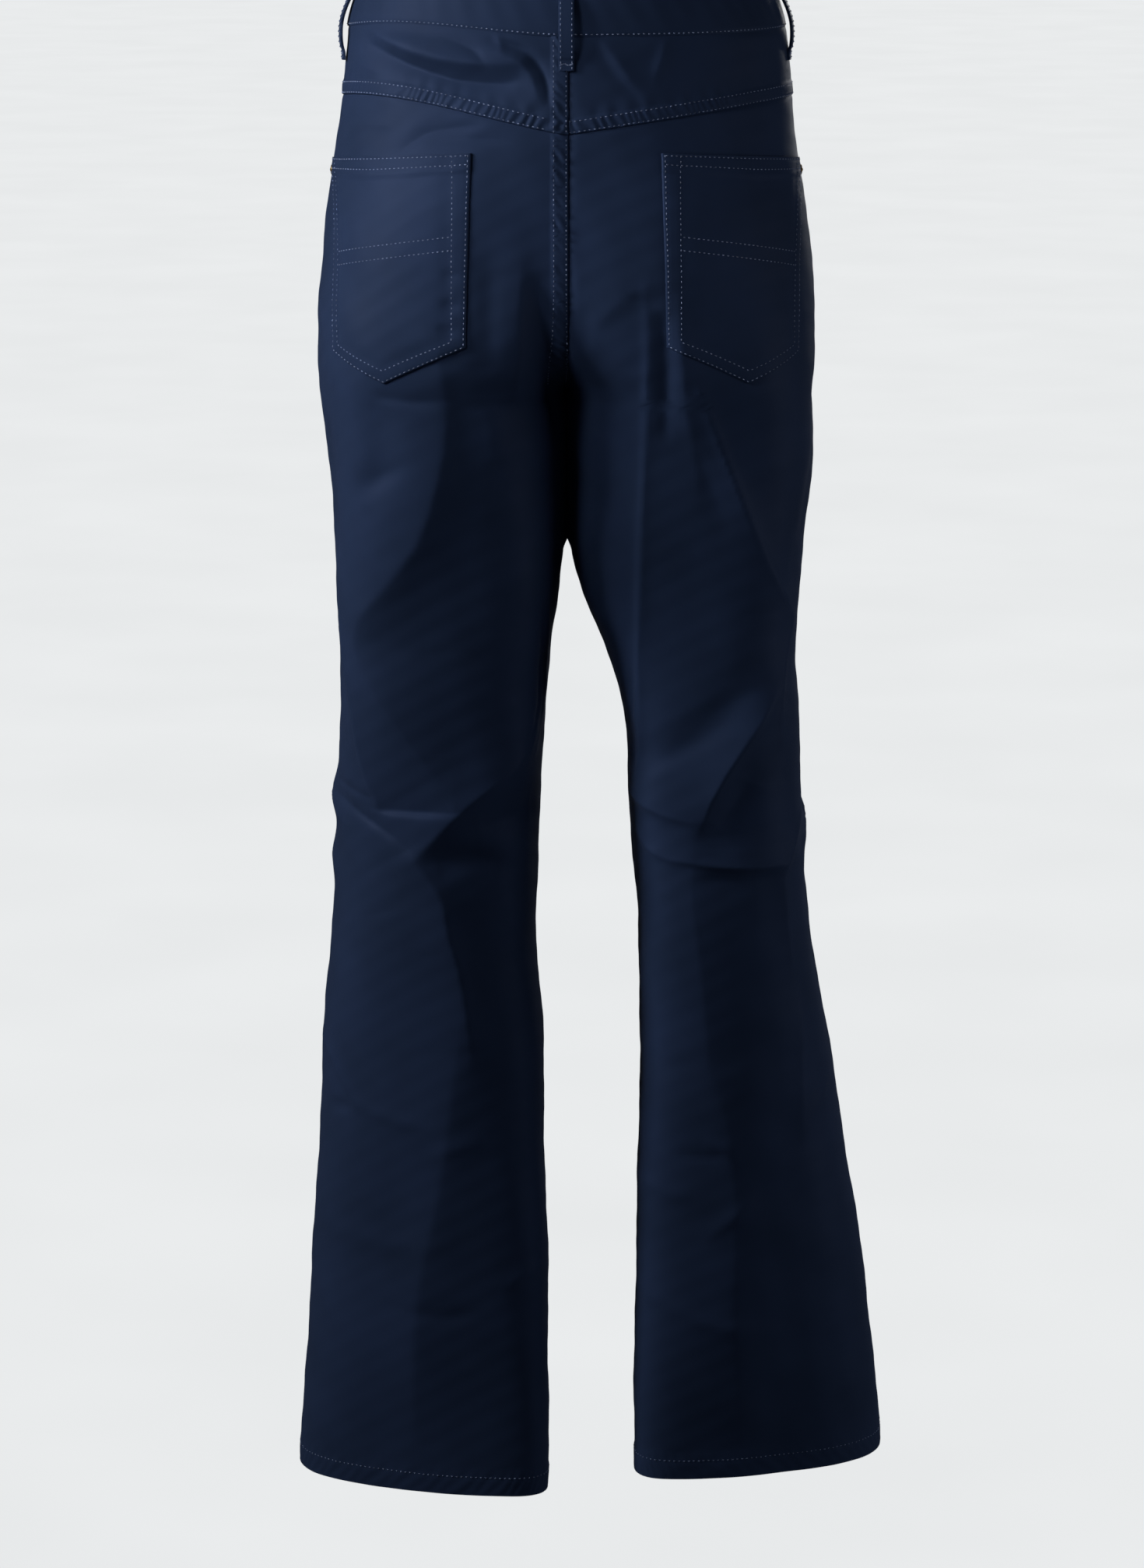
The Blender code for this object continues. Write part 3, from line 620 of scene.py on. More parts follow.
def make_mesh(name, points, quads, triangles=None, chart=None):
    """A mesh object from arrays; chart gives each point's place on the flat cloth, in metres,
    for the UV map that the weave follows."""
    triangles = np.zeros((0, 3), int) if triangles is None else triangles
    corners = np.concatenate([quads.ravel(), triangles.ravel()]).astype(np.int32)
    sizes = np.concatenate([np.full(len(quads), 4), np.full(len(triangles), 3)])
    starts = np.concatenate([[0], np.cumsum(sizes)[:-1]]).astype(np.int32)
    mesh = bpy.data.meshes.new(name)
    mesh.vertices.add(len(points))
    mesh.vertices.foreach_set("co", points.astype(np.float32).ravel())
    mesh.loops.add(len(corners))
    mesh.loops.foreach_set("vertex_index", corners)
    mesh.polygons.add(len(sizes))
    mesh.polygons.foreach_set("loop_start", starts)
    if chart is not None:
        layer = mesh.uv_layers.new(name="cloth")
        layer.data.foreach_set("uv", chart[corners].astype(np.float32).ravel())
    mesh.update(calc_edges=True)
    mesh.shade_smooth()
    mesh.set_sharp_from_angle(angle=math.radians(62))
    made = bpy.data.objects.new(name, mesh)
    bpy.context.scene.collection.objects.link(made)
    return made


def flat_chart(points):
    """Places on the flat cloth: arc length across and down a grid of points."""
    across = np.linalg.norm(np.diff(points, axis=1), axis=-1)
    down = np.linalg.norm(np.diff(points, axis=0), axis=-1)
    u = np.concatenate([np.zeros((len(points), 1)), np.cumsum(across, axis=1)], axis=1)
    v = np.concatenate([np.zeros((1, points.shape[1])), np.cumsum(down, axis=0)], axis=0)
    return np.stack([u - u.mean(axis=1, keepdims=True), -v], axis=-1)


def grid_quads(index):
    """Four corners of each face of a grid of point numbers."""
    corners = [index[:-1, :-1], index[:-1, 1:], index[1:, 1:], index[1:, :-1]]
    return np.stack(corners, axis=-1).reshape(-1, 4)


def wall(name, outside, inside, outward, wrap):
    """A closed shell between two grids of points. The outer one is used as it is and the inner
    one at every second point, joined along the edges by three triangles for each pair.
    outward says that the columns run to the wearer's left when seen from behind."""
    if not outward:
        outside, inside = outside[:, ::-1], inside[:, ::-1]
    chart = flat_chart(outside)
    inside, inner_chart = inside[::2, ::2], chart[::2, ::2]
    top = np.arange(outside[..., 0].size).reshape(outside.shape[:2])
    low = top.size + np.arange(inside[..., 0].size).reshape(inside.shape[:2])
    if wrap:
        top, low = np.hstack([top, top[:, :1]]), np.hstack([low, low[:, :1]])
    edges = [(top[0], low[0], 1), (top[-1], low[-1], -1)]
    if not wrap:
        edges += [(top[:, 0], low[:, 0], -1), (top[:, -1], low[:, -1], 1)]
    rims = []
    for o, i, way in edges:
        a, m, b, p, q = o[:-1:2], o[1::2], o[2::2], i[:-1], i[1:]
        for corners in ((a, p, m), (p, q, m), (q, b, m)):
            rims.append(np.stack(corners, axis=-1)[:, ::way])
    points = np.vstack([outside.reshape(-1, 3), inside.reshape(-1, 3)])
    charts = np.vstack([chart.reshape(-1, 2), inner_chart.reshape(-1, 2)])
    faces = np.vstack([grid_quads(top), grid_quads(low)[:, ::-1]])
    return make_mesh(name, points, faces, np.vstack(rims), charts)


def sewn(made, material, *nodes, slot="navy_sateen"):
    """Gives a piece its material and its body, and hides the nodes it stands for. slot is not used."""
    made.data.materials.append(material)
    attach(made, "root")
    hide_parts(*nodes)
    return made


def cloth_piece(name, surface, outward, thick=None, wrap=False, maker=None, slot="navy_sateen"):
    """A shell of cloth in place of the node of its name: surface gives the outer points and
    their way out."""
    thick = thick or bpy.context.scene.trousers_cloth.thickness
    outside, out = surface
    made = wall(name, outside, outside - out * thick, outward, wrap)
    return sewn(made, finish(maker or navy_sateen), name, slot=slot)


def stitches(name, rows):
    """Rows of stitches as one mesh. Each stitch is a thread of four rings of five points that
    takes up the middle 44% of its length and dives into the cloth at its ends: its height is
    a half wave."""
    sizes = bpy.context.scene.trousers_stitching
    rings, sides = 4, 5
    ring = np.linspace(0.0, 1.0, rings)
    turned = np.radians(np.arange(sides) * 360.0 / sides)
    all_points, all_quads, all_triangles, base = [], [], [], 0
    for points, out in rows:
        span = np.linalg.norm(np.diff(points, axis=0), axis=1)
        place = np.concatenate([[0.0], np.cumsum(span)])
        count = max(1, round(place[-1] / sizes.pitch))
        at = (np.arange(count)[:, None] + 0.28 + 0.44 * ring) * place[-1] / count
        middle = np.stack([np.interp(at, place, points[:, k]) for k in range(3)], axis=-1)
        rise = np.stack([np.interp(at, place, out[:, k]) for k in range(3)], axis=-1)
        way = np.gradient(middle, axis=1)
        way /= np.linalg.norm(way, axis=-1, keepdims=True)
        across = np.cross(way, rise)
        crown = np.sin(math.pi * ring)[:, None]
        radius = sizes.thickness / 2 * (0.55 + 0.45 * crown)
        body = middle + rise * (crown - 0.35) * sizes.thickness * 0.6
        loops = (
            body[:, :, None, :]
            + across[:, :, None, :] * (np.cos(turned) * radius)[None, :, :, None]
            + rise[:, :, None, :] * (np.sin(turned) * radius)[None, :, :, None]
        )
        index = base + np.arange(count * rings * sides).reshape(count, rings, sides)
        turn = np.concatenate([index, index[..., :1]], axis=-1)
        corners = [turn[:, :-1, :-1], turn[:, 1:, :-1], turn[:, 1:, 1:], turn[:, :-1, 1:]]
        all_quads.append(np.stack(corners, axis=-1).reshape(-1, 4))
        for end, way_round in ((index[:, 0], 1), (index[:, -1], -1)):
            for k in range(1, sides - 1):
                all_triangles.append(end[:, [0, k, k + 1]][:, ::way_round])
        all_points.append(loops.reshape(-1, 3))
        base += count * rings * sides
    made = make_mesh(name, np.vstack(all_points), np.vstack(all_quads), np.vstack(all_triangles))
    made.data.materials.append(finish(thread))
    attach(made, "root")
    return made


def side_name(name, side):
    return f"{name}_{'left' if side > 0 else 'right'}"


# ---------------------------------------------------------------- materials


def linear(code):
    """An sRGB hex colour as linear light."""
    parts = [int(code[k : k + 2], 16) / 255 for k in (0, 2, 4)]
    return tuple(c / 12.92 if c <= 0.04045 else ((c + 0.055) / 1.055) ** 2.4 for c in parts)


def add(tree, kind, settings=None, **links):
    """Adds a node, or takes the one given, sets its sockets and options, and links its inputs.
    A space in a socket's name is written as _ in links, and _0 is the first socket. The stops
    of a colour ramp are two pairs of a place and a grey or a colour."""
    node = tree.nodes.new(kind) if isinstance(kind, str) else kind
    for name, value in (settings or {}).items():
        if name == "stops":
            for element, (place, shade) in zip(node.color_ramp.elements, value):
                element.position = place
                element.color = (*shade, 1.0) if isinstance(shade, tuple) else (shade, shade, shade, 1.0)
        elif hasattr(node, name):
            setattr(node, name, value)
        else:
            node.inputs[name].default_value = value
    for name, source in links.items():
        socket = node.inputs[int(name[1:])] if name[1:].isdigit() else node.inputs[name.replace("_", " ")]
        tree.links.new(source, socket)
    return node


def material(name):
    """A new node material, its tree and its Principled shader."""
    made = bpy.data.materials.new(name)
    made.use_nodes = True
    tree = made.node_tree
    return made, tree, tree.nodes["Principled BSDF"]


def navy_sateen():
    """Cotton sateen with a little elastane, piece-dyed navy. Long floats give it a smooth face
    and a soft shine, and a faint slant of fine ribs."""
    cloth = bpy.context.scene.trousers_cloth
    made, tree, shader = material("navy_cotton_sateen")
    place = add(tree, "ShaderNodeTexCoord").outputs["Object"]
    chart = add(tree, "ShaderNodeUVMap", {"uv_map": "cloth"}).outputs["UV"]
    cloudy = add(tree, "ShaderNodeTexNoise", {"Scale": 14.0, "Detail": 3.0}, Vector=place)
    tones = [(0.3, tuple(cloth.shade)), (0.7, tuple(cloth.colour))]
    colour = add(tree, "ShaderNodeValToRGB", {"stops": tones}, Fac=cloudy.outputs["Fac"])
    # ribs 0.7 mm apart; the real ones, 0.25 mm apart, would not show
    turned = add(tree, "ShaderNodeMapping", {"Rotation": (0.0, 0.0, math.radians(63))}, Vector=chart)
    ribs = add(
        tree,
        "ShaderNodeTexWave",
        {"wave_type": "BANDS", "Scale": 1 / 0.0007 / 3.15, "Distortion": 1.2, "Detail": 1.0},
        Vector=turned.outputs["Vector"],
    ).outputs["Fac"]
    slubs = add(tree, "ShaderNodeTexNoise", {"Scale": 900.0, "Detail": 2.0}, Vector=chart).outputs["Fac"]
    mixed = add(tree, "ShaderNodeMath", {"operation": "ADD"}, _0=ribs, _1=slubs).outputs["Value"]
    bump = add(tree, "ShaderNodeBump", {"Strength": 0.10, "Distance": 0.0002}, Height=mixed)
    rough = add(tree, "ShaderNodeValToRGB", {"stops": [(0.3, 0.46), (0.7, 0.58)]}, Fac=slubs)
    add(
        tree,
        shader,
        {
            "Specular IOR Level": 0.13,
            "Specular Tint": (*linear("8FA6E0"), 1.0),
            "Sheen Weight": 0.03,
            "Sheen Roughness": 0.40,
            "Sheen Tint": (*linear("6F86C0"), 1.0),
        },
        Base_Color=colour.outputs["Color"],
        Roughness=rough.outputs["Color"],
        Normal=bump.outputs["Normal"],
    )
    return made


def thread():
    """Polyester sewing thread, a few shades paler than the cloth, with a slight twist."""
    made, tree, shader = material("pale_blue_polyester_thread")
    place = add(tree, "ShaderNodeTexCoord").outputs["Object"]
    cloudy = add(tree, "ShaderNodeTexNoise", {"Scale": 60.0, "Detail": 2.0}, Vector=place)
    pale = tuple(bpy.context.scene.trousers_stitching.colour)
    tones = [(0.35, tuple(0.55 * c for c in pale)), (0.65, pale)]
    colour = add(tree, "ShaderNodeValToRGB", {"stops": tones}, Fac=cloudy.outputs["Fac"])
    twist = add(tree, "ShaderNodeTexNoise", {"Scale": 2500.0}, Vector=place).outputs["Fac"]
    bump = add(tree, "ShaderNodeBump", {"Strength": 0.3, "Distance": 0.0001}, Height=twist)
    links = {"Base_Color": colour.outputs["Color"], "Normal": bump.outputs["Normal"]}
    add(tree, shader, {"Roughness": 0.42}, **links)
    return made


def zip_tape():
    """Woven polyester tape, matt and nearly black, with a rib across it."""
    made, tree, shader = material("navy_woven_zip_tape")
    chart = add(tree, "ShaderNodeUVMap", {"uv_map": "cloth"}).outputs["UV"]
    bands = {"bands_direction": "Y", "Scale": 1 / 0.0012 / 3.15}
    ribs = add(tree, "ShaderNodeTexWave", bands, Vector=chart).outputs["Fac"]
    tones = [(0.2, linear("0A0D17")), (0.8, linear("182036"))]
    colour = add(tree, "ShaderNodeValToRGB", {"stops": tones}, Fac=ribs)
    bump = add(tree, "ShaderNodeBump", {"Strength": 0.4, "Distance": 0.0002}, Height=ribs)
    links = {"Base_Color": colour.outputs["Color"], "Normal": bump.outputs["Normal"]}
    add(tree, shader, {"Roughness": 0.8}, **links)
    return made


def antique_brass():
    """Stamped brass with an aged finish: dull yellow, browner in the hollows, lightly scuffed."""
    made, tree, shader = material("antique_stamped_brass")
    place = add(tree, "ShaderNodeTexCoord").outputs["Object"]
    tarnish = add(tree, "ShaderNodeTexNoise", {"Scale": 420.0, "Detail": 4.0}, Vector=place).outputs["Fac"]
    tones = [(0.35, linear("5E4A28")), (0.6, linear("A98A4C"))]
    colour = add(tree, "ShaderNodeValToRGB", {"stops": tones}, Fac=tarnish)
    rough = add(tree, "ShaderNodeValToRGB", {"stops": [(0.3, 0.52), (0.7, 0.30)]}, Fac=tarnish)
    bump = add(tree, "ShaderNodeBump", {"Strength": 0.15, "Distance": 0.0001}, Height=tarnish)
    add(
        tree,
        shader,
        {"Metallic": 1.0},
        Base_Color=colour.outputs["Color"],
        Roughness=rough.outputs["Color"],
        Normal=bump.outputs["Normal"],
    )
    return made


def pale_floor():
    """Studio paper, matt and nearly white, lit evenly by its own faint glow."""
    made, tree, shader = material("pale_studio_paper")
    place = add(tree, "ShaderNodeTexCoord").outputs["Object"]
    grain = add(tree, "ShaderNodeTexNoise", {"Scale": 3.0, "Detail": 2.0}, Vector=place).outputs["Fac"]
    tones = [(0.3, linear("E7E9EA")), (0.7, linear("EAECED"))]
    glow = add(tree, "ShaderNodeValToRGB", {"stops": tones}, Fac=grain).outputs["Color"]
    matt = {"Base Color": (0.0, 0.0, 0.0, 1.0), "Roughness": 0.9, "Specular IOR Level": 0.0}
    add(tree, shader, {**matt, "Emission Strength": 1.0}, Emission_Color=glow)
    return made


MADE = {}


def finish(maker):
    """A material by its maker, made once."""
    if maker not in MADE:
        MADE[maker] = maker()
    return MADE[maker]


# ---------------------------------------------------------------- the pieces' surfaces


def edge_roll(distance, drop=0.0007, reach=0.0016):
    """How far a sewn edge sinks: drop at the seam, easing out within a few millimetres."""
    return -drop * bell(distance, reach)


def border(distance, height):
    """Doubled cloth from a seam to its second row of stitches, raised by height, with a dent
    at each row."""
    raised = height * smooth(distance / 0.0006) * (1 - smooth((distance - SECOND_ROW) / 0.0022))
    return raised - 0.00028 * (bell(distance - EDGE_ROW, DENT) + bell(distance - SECOND_ROW, DENT))


def puckers(along, across, pitch, slant):
    """Small slanting ridges that a double row of stitches draws up, at an uneven pitch."""
    wave = along + slant * across + 0.0009 * np.sin(along * 410) + 0.0014 * np.sin(along * 173 + 1.0)
    window = smooth(across / 0.0016) * (1 - smooth((across - SECOND_ROW + 0.0008) / 0.0022))
    return np.sin(2 * math.pi * wave / pitch) * window


def middle_strip(side, x, z):
    """The seat seam is felled, left over right: doubled cloth with slanting puckers on the
    left, and a groove on the right."""
    if side < 0:
        return -0.0012 * bell(x, 0.0032)
    uneven = 0.6 + 0.4 * np.sin(z * 97 + 1.0) * np.sin(z * 41)
    drawn = 0.0013 * uneven * puckers(-z, x, 0.0074, 1.1)
    return (border(x, 0.0009) + drawn) * smooth((z - CROTCH - 0.01) / 0.03)


def seat_skin(side, share, z, lift):
    """The outside of a back piece with the felled seat seam, where the left side's edge is
    carried over the right one."""
    angle = spread(side, share, z, +1)
    x = np.abs(form(side, angle, z)[0][..., 0])
    points, out = skin(side, angle, z, lift + middle_strip(side, x, z))
    if side > 0:
        above = smooth((z - CROTCH - 0.004) / 0.016)
        points[..., 0] -= LAP * above * bell(points[..., 0], 0.004)
    return points, out


def yoke_skin(side, share, z):
    """The yoke laps over the back panel with two rows and puckers along them, most of all near
    the middle."""
    up = z - yoke_seam(side, share)
    x = share * YOKE_SEEN
    drawn = 0.00058 * puckers(x, up, 0.0039, 0.3)
    above = smooth((up - SECOND_ROW) / 0.002) * (1 - smooth((up - 0.010) / 0.011))
    drawn = drawn + 0.00040 * above * np.sin(2 * math.pi * (x + 0.1 * up) / 0.0093 + 1.0)
    uneven = 0.7 + 0.3 * np.sin(x * 233 + 0.8) * np.sin(x * 131 + 2.0)
    drawn = drawn * uneven * (1 - 0.85 * smooth((share - 0.40) / 0.16))
    edges = edge_roll(waist_seam(side, share) - z, 0.0004, 0.002) + edge_roll((1 - share) * YOKE_WIDTH)
    return seat_skin(side, share, z, border(up, 0.0008) + drawn + edges)


def panel_lift(side, share, z, face):
    """A leg panel's rolled seams and its hem: thicker cloth over the turning, whose one row
    draws it into slanting ropes about 9 mm apart."""
    inseam = edge_roll(share * PANEL_WIDTH) * smooth((CROTCH - z) / 0.02)
    up = z - HEM[side]
    doubled = 0.0004 * (1 - smooth((up - HEM_DEPTH) / 0.0025)) - 0.0003 * bell(up - HEM_ROW, 0.0008)
    around = np.radians(spread(side, share, z, face)) * HEM_RADIUS
    rope = np.sin(2 * math.pi * (around + 0.7 * up + 0.0012 * np.sin(around * 260)) / 0.0091)
    shows = smooth(up / 0.003) * (1 - smooth((up - HEM_DEPTH) / 0.004))
    return edge_roll((1 - share) * PANEL_WIDTH) + inseam + doubled + 0.00022 * rope * shows


def back_skin(side, share, z):
    """A back panel, sunk a little under the yoke's edge."""
    under_yoke = edge_roll(yoke_seam(side, share) - z, 0.0005)
    return seat_skin(side, share, z, panel_lift(side, share, z, +1) + under_yoke)


def front_skin(side, share, z):
    """A front panel with the hem of its pocket opening. The left one laps over the right one,
    on the fly's doubled cloth."""
    angle = spread(side, share, z, -1)
    opening = np.abs(front_top(side, share) - z)
    lift = panel_lift(side, share, z, -1) + 0.6 * (share > FRONT_POCKET_START) * border(opening, 0.0008)
    if side > 0:
        x = np.abs(form(side, angle, z)[0][..., 0])
        lift = lift + 0.0006 * (1 - smooth((x - FLY_ROWS[0]) / 0.003)) * smooth((z - FLY_END) / 0.01)
    return skin(side, angle, z, lift)


def pocket_skin(side, across, down):
    """A patch pocket: its sewn edges hug the back panel, its hemmed opening stands a little
    off it, and inside its double rows it is slightly full. down runs from the opening to the
    lower edge."""
    top, lower = pocket_edges(across)
    z = top + (lower - top) * down
    inner = angle_at(side, POCKET_INNER + 0.0045 * down, z)
    outer = angle_at(side, POCKET_OUTER - 0.0005 * down, z)
    sewn_edge = np.minimum(np.minimum(across, 1 - across) * POCKET_WIDTH, (1 - down) * POCKET_LENGTH)
    opening = down * POCKET_LENGTH
    full = 0.0011 * smooth(sewn_edge / 0.02) * (1 - 0.4 * smooth((0.02 - opening) / 0.02))
    hemmed = 0.0006 * (1 - smooth((opening - 0.0118) / 0.0012))
    rows = 0.0002 * (bell(opening - EDGE_ROW, DENT) + bell(opening - POCKET_HEM, DENT))
    hugging = 0.0014 - 0.0004 * bell(sewn_edge, DENT)
    lift = hugging + full + border(sewn_edge, 0.0005) + hemmed - rows
    return skin(side, inner + (outer - inner) * across, z, lift)


def mirrored(surface, at):
    """Carries the points where at is below 0 over to the wearer's right."""
    points, out = surface
    flip = np.ones_like(points)
    flip[..., 0] = np.where(at < 0, -1.0, 1.0)
    return points * flip, out * flip


def waistband_skin(around, z):
    """The waistband: plump between its edges, with a row along each and slight ropes between
    them. Its right end sinks under the left one."""
    sunk = (WAISTBAND_THICK + LAID_ON) * smooth((-152.0 - around) / 20.0)
    down, lower = -z, -band_bottom(around)
    plump = -0.0006 * bell(np.minimum(down, lower - down), 0.0011)
    rows = -0.0002 * (bell(lower - down - EDGE_ROW, DENT) + bell(down - EDGE_ROW, DENT))
    rope = np.sin(2 * math.pi * (np.radians(around) * WAIST_RADIUS + 0.5 * down) / 0.019)
    roping = 0.00018 * rope * np.sin(math.pi * np.clip(down / lower, 0, 1))
    points, out = form(+1, 90.0 + np.abs(around), z)
    lift = WAISTBAND_PROUD - sunk + plump + rows + roping
    return mirrored((points + out * lift[..., None], out), around)


# ---------------------------------------------------------------- building the pieces

BACK_COLUMNS = graded(0.27, [0.0, 0.04, 0.10, 0.94, 1.0], [0.0008, 0.0012, 0.0022, 0.0022, 0.0009])
BACK_BODY_ROWS = graded(0.19, [0.0, 0.05, 1.0], [0.0009, 0.0014, 0.0016])
BACK_LEG_ROWS = graded(
    0.82,
    [0.0, 0.15, 0.30, 0.36, 0.44, 0.55, 0.97, 1.0],
    [0.0022, 0.0026, 0.0021, 0.0015, 0.0015, 0.0036, 0.0036, 0.0012],
)
FRONT_COLUMNS = graded(0.27, [0.0, 0.03, 0.10, 0.94, 1.0], [0.0010, 0.0020, 0.0034, 0.0034, 0.0010])
FRONT_BODY_ROWS = graded(0.22, [0.0, 0.05, 1.0], [0.0010, 0.0020, 0.0030])
FRONT_LEG_ROWS = graded(0.82, [0.0, 0.97, 1.0], [0.0040, 0.0040, 0.0012])


def middle_rows(piece_skin, top, bottom, count):
    """The double row down the left side of the seat seam."""
    z = np.linspace(top, bottom, count)
    return [piece_skin(+1, share_at(+1, x, z), z) for x in DOUBLE_ROW]


def hem_row(piece_skin, side):
    """The row that holds the hem, across one panel."""
    share = np.linspace(0.004, 0.996, ROW_POINTS)
    return piece_skin(side, share, np.full_like(share, HEM[side] + HEM_ROW))


def fly_row(reach):
    """The J of stitches that holds the fly: down beside the opening, then round to the seam."""
    drop = np.linspace(-WAISTBAND_HEIGHT - 0.002, FLY_BEND, 220)
    bend = np.linspace(0.0, math.pi / 2, 80)
    x = np.concatenate([np.full_like(drop, reach), reach * np.cos(bend) ** 0.9 + 0.001])
    z = np.concatenate([drop, FLY_BEND - (reach + 0.010) * np.sin(bend)])
    return front_skin(+1, share_at(+1, x, z, -1), z)


def pocket_rows(side):
    """Rows on a back pocket: double along its sewn edges, two along its hem, and a plain pair
    that slants down to the outer edge."""
    t = np.linspace(0.0, 1.0, ROW_POINTS)
    rows = []
    for inset in DOUBLE_ROW:
        a, d = inset / POCKET_WIDTH, inset / POCKET_LENGTH
        rows += [pocket_skin(side, np.full_like(t, across), t * (1 - d)) for across in (a, 1 - a)]
        rows.append(pocket_skin(side, a + (1 - 2 * a) * t, np.full_like(t, 1 - d)))
    for below in (EDGE_ROW, POCKET_HEM):
        rows.append(pocket_skin(side, 0.01 + 0.98 * t, np.full_like(t, below / POCKET_LENGTH)))
    across = 0.085 + 0.83 * t
    top, lower = pocket_edges(across)
    rows += [pocket_skin(side, across, (z + PAIR_FALL * t - top) / (lower - top)) for z in PAIR_STARTS]
    return rows


def make_back(side):
    """A back panel and its stitching."""
    z = panel_heights(yoke_seam, BACK_COLUMNS, side, BACK_BODY_ROWS, BACK_LEG_ROWS)
    made = cloth_piece(side_name("back", side), back_skin(side, BACK_COLUMNS, z), side > 0)
    rows = [hem_row(back_skin, side)]
    if side > 0:
        rows += middle_rows(back_skin, yoke_seam(side, 0.0) - 0.002, CROTCH + 0.012, 300)
    thread_piece = stitches(side_name("back_stitching", side), rows)


def make_front(side):
    """A front panel and its stitching."""
    z = panel_heights(front_top, FRONT_COLUMNS, side, FRONT_BODY_ROWS, FRONT_LEG_ROWS)
    made = cloth_piece(side_name("front", side), front_skin(side, FRONT_COLUMNS, z), side < 0)
    rows = [hem_row(front_skin, side)]
    share = np.linspace(FRONT_POCKET_START + 0.01, 0.985, ROW_POINTS)
    rows += [front_skin(side, share, front_top(side, share) - below) for below in DOUBLE_ROW]
    if side > 0:
        rows += [fly_row(reach) for reach in FLY_ROWS]
    thread_piece = stitches(side_name("front_stitching", side), rows)


class TROUSERS_OT_panels(bpy.types.Operator):
    """Back and front panels of both legs"""

    bl_idname = "trousers.panels"
    bl_label = "Back and front panels"

    def execute(self, context):
        for side in SIDES:
            make_back(side)
            make_front(side)
        return {"FINISHED"}


class TROUSERS_OT_yokes(bpy.types.Operator):
    """Back yokes"""

    bl_idname = "trousers.yokes"
    bl_label = "Back yokes"

    def execute(self, context):
        share = graded(YOKE_WIDTH, [0.0, 0.08, 0.6, 1.0], [0.0007, 0.0008, 0.0009, 0.0022])
        t = graded(0.065, [0.0, 0.1, 0.75, 1.0], [0.0010, 0.0022, 0.0014, 0.0007])[:, None]
        for side in SIDES:
            top = waist_seam(side, share) - SEAM
            z = top + (yoke_seam(side, share) - top) * t
            made = cloth_piece(side_name("yoke", side), yoke_skin(side, share, z), side > 0)
            along = np.linspace(0.055 if side > 0 else 0.004, 0.995, ROW_POINTS)
            rows = [yoke_skin(side, along, yoke_seam(side, along) + up) for up in DOUBLE_ROW]
            if side > 0:
                rows += middle_rows(yoke_skin, -WAISTBAND_HEIGHT - 0.001, yoke_seam(side, 0.0) + 0.001, 200)
            thread_piece = stitches(side_name("yoke_stitching", side), rows)
        return {"FINISHED"}


class TROUSERS_OT_waistband(bpy.types.Operator):
    """Waistband, closed left over right at centre front"""

    bl_idname = "trousers.waistband"
    bl_label = "Waistband"

    def execute(self, context):
        columns = graded(0.95, [0.0, 1.0], [0.0022, 0.0022])
        around = -180.0 - UNDERLAP_TURN + (360.0 + UNDERLAP_TURN) * columns
        t = graded(WAISTBAND_HEIGHT, [0.0, 0.12, 0.88, 1.0], [0.0005, 0.0020, 0.0018, 0.0005])[:, None]
        surface = waistband_skin(around + 0 * t, band_bottom(around) * t)
        made = cloth_piece("waistband", surface, True, thick=WAISTBAND_THICK)
        turn = np.linspace(-179.0, 179.5, 1400)
        rows = [waistband_skin(turn, z) for z in (band_bottom(turn) + EDGE_ROW, 0 * turn - EDGE_ROW)]
        thread_piece = stitches("waistband_stitching", rows)
        return {"FINISHED"}


class TROUSERS_OT_back_pockets(bpy.types.Operator):
    """Patch pockets on the seat, with double rows and a plain pair of slanting rows"""

    bl_idname = "trousers.back_pockets"
    bl_label = "Back pockets"

    def execute(self, context):
        across = graded(POCKET_WIDTH, [0.0, 0.1, 0.9, 1.0], [0.0007, 0.0019, 0.0019, 0.0007])
        down = graded(POCKET_LENGTH, [0.0, 0.12, 0.9, 1.0], [0.0008, 0.0018, 0.0020, 0.0007])[:, None]
        for side in SIDES:
            made = cloth_piece(side_name("back_pocket", side), pocket_skin(side, across, down), side > 0)
            thread_piece = stitches(side_name("back_pocket_stitching", side), pocket_rows(side))
        return {"FINISHED"}


class TROUSERS_OT_front_pockets(bpy.types.Operator):
    """Hip pieces that show in the front pocket openings"""

    bl_idname = "trousers.front_pockets"
    bl_label = "Front pocket hip pieces"

    def execute(self, context):
        columns = graded(0.17, [0.0, 0.94, 1.0], [0.0026, 0.0026, 0.0010])
        share = FACING_START + (1 - FACING_START) * columns
        t = graded(0.118, [0.0, 1.0], [0.0026, 0.0026])[:, None]
        top, bottom = -WAISTBAND_HEIGHT - SEAM, FRONT_POCKET_LOW - FACING_UNDER
        z = top + (bottom - top) * t + 0 * share
        for side in SIDES:
            lift = edge_roll((1 - share) * FRONT_WIDTH) - CLOTH - LAID_ON
            surface = skin(side, spread(side, share, z, -1), z, lift)
            made = cloth_piece(side_name("pocket_facing", side), surface, side < 0)
        return {"FINISHED"}


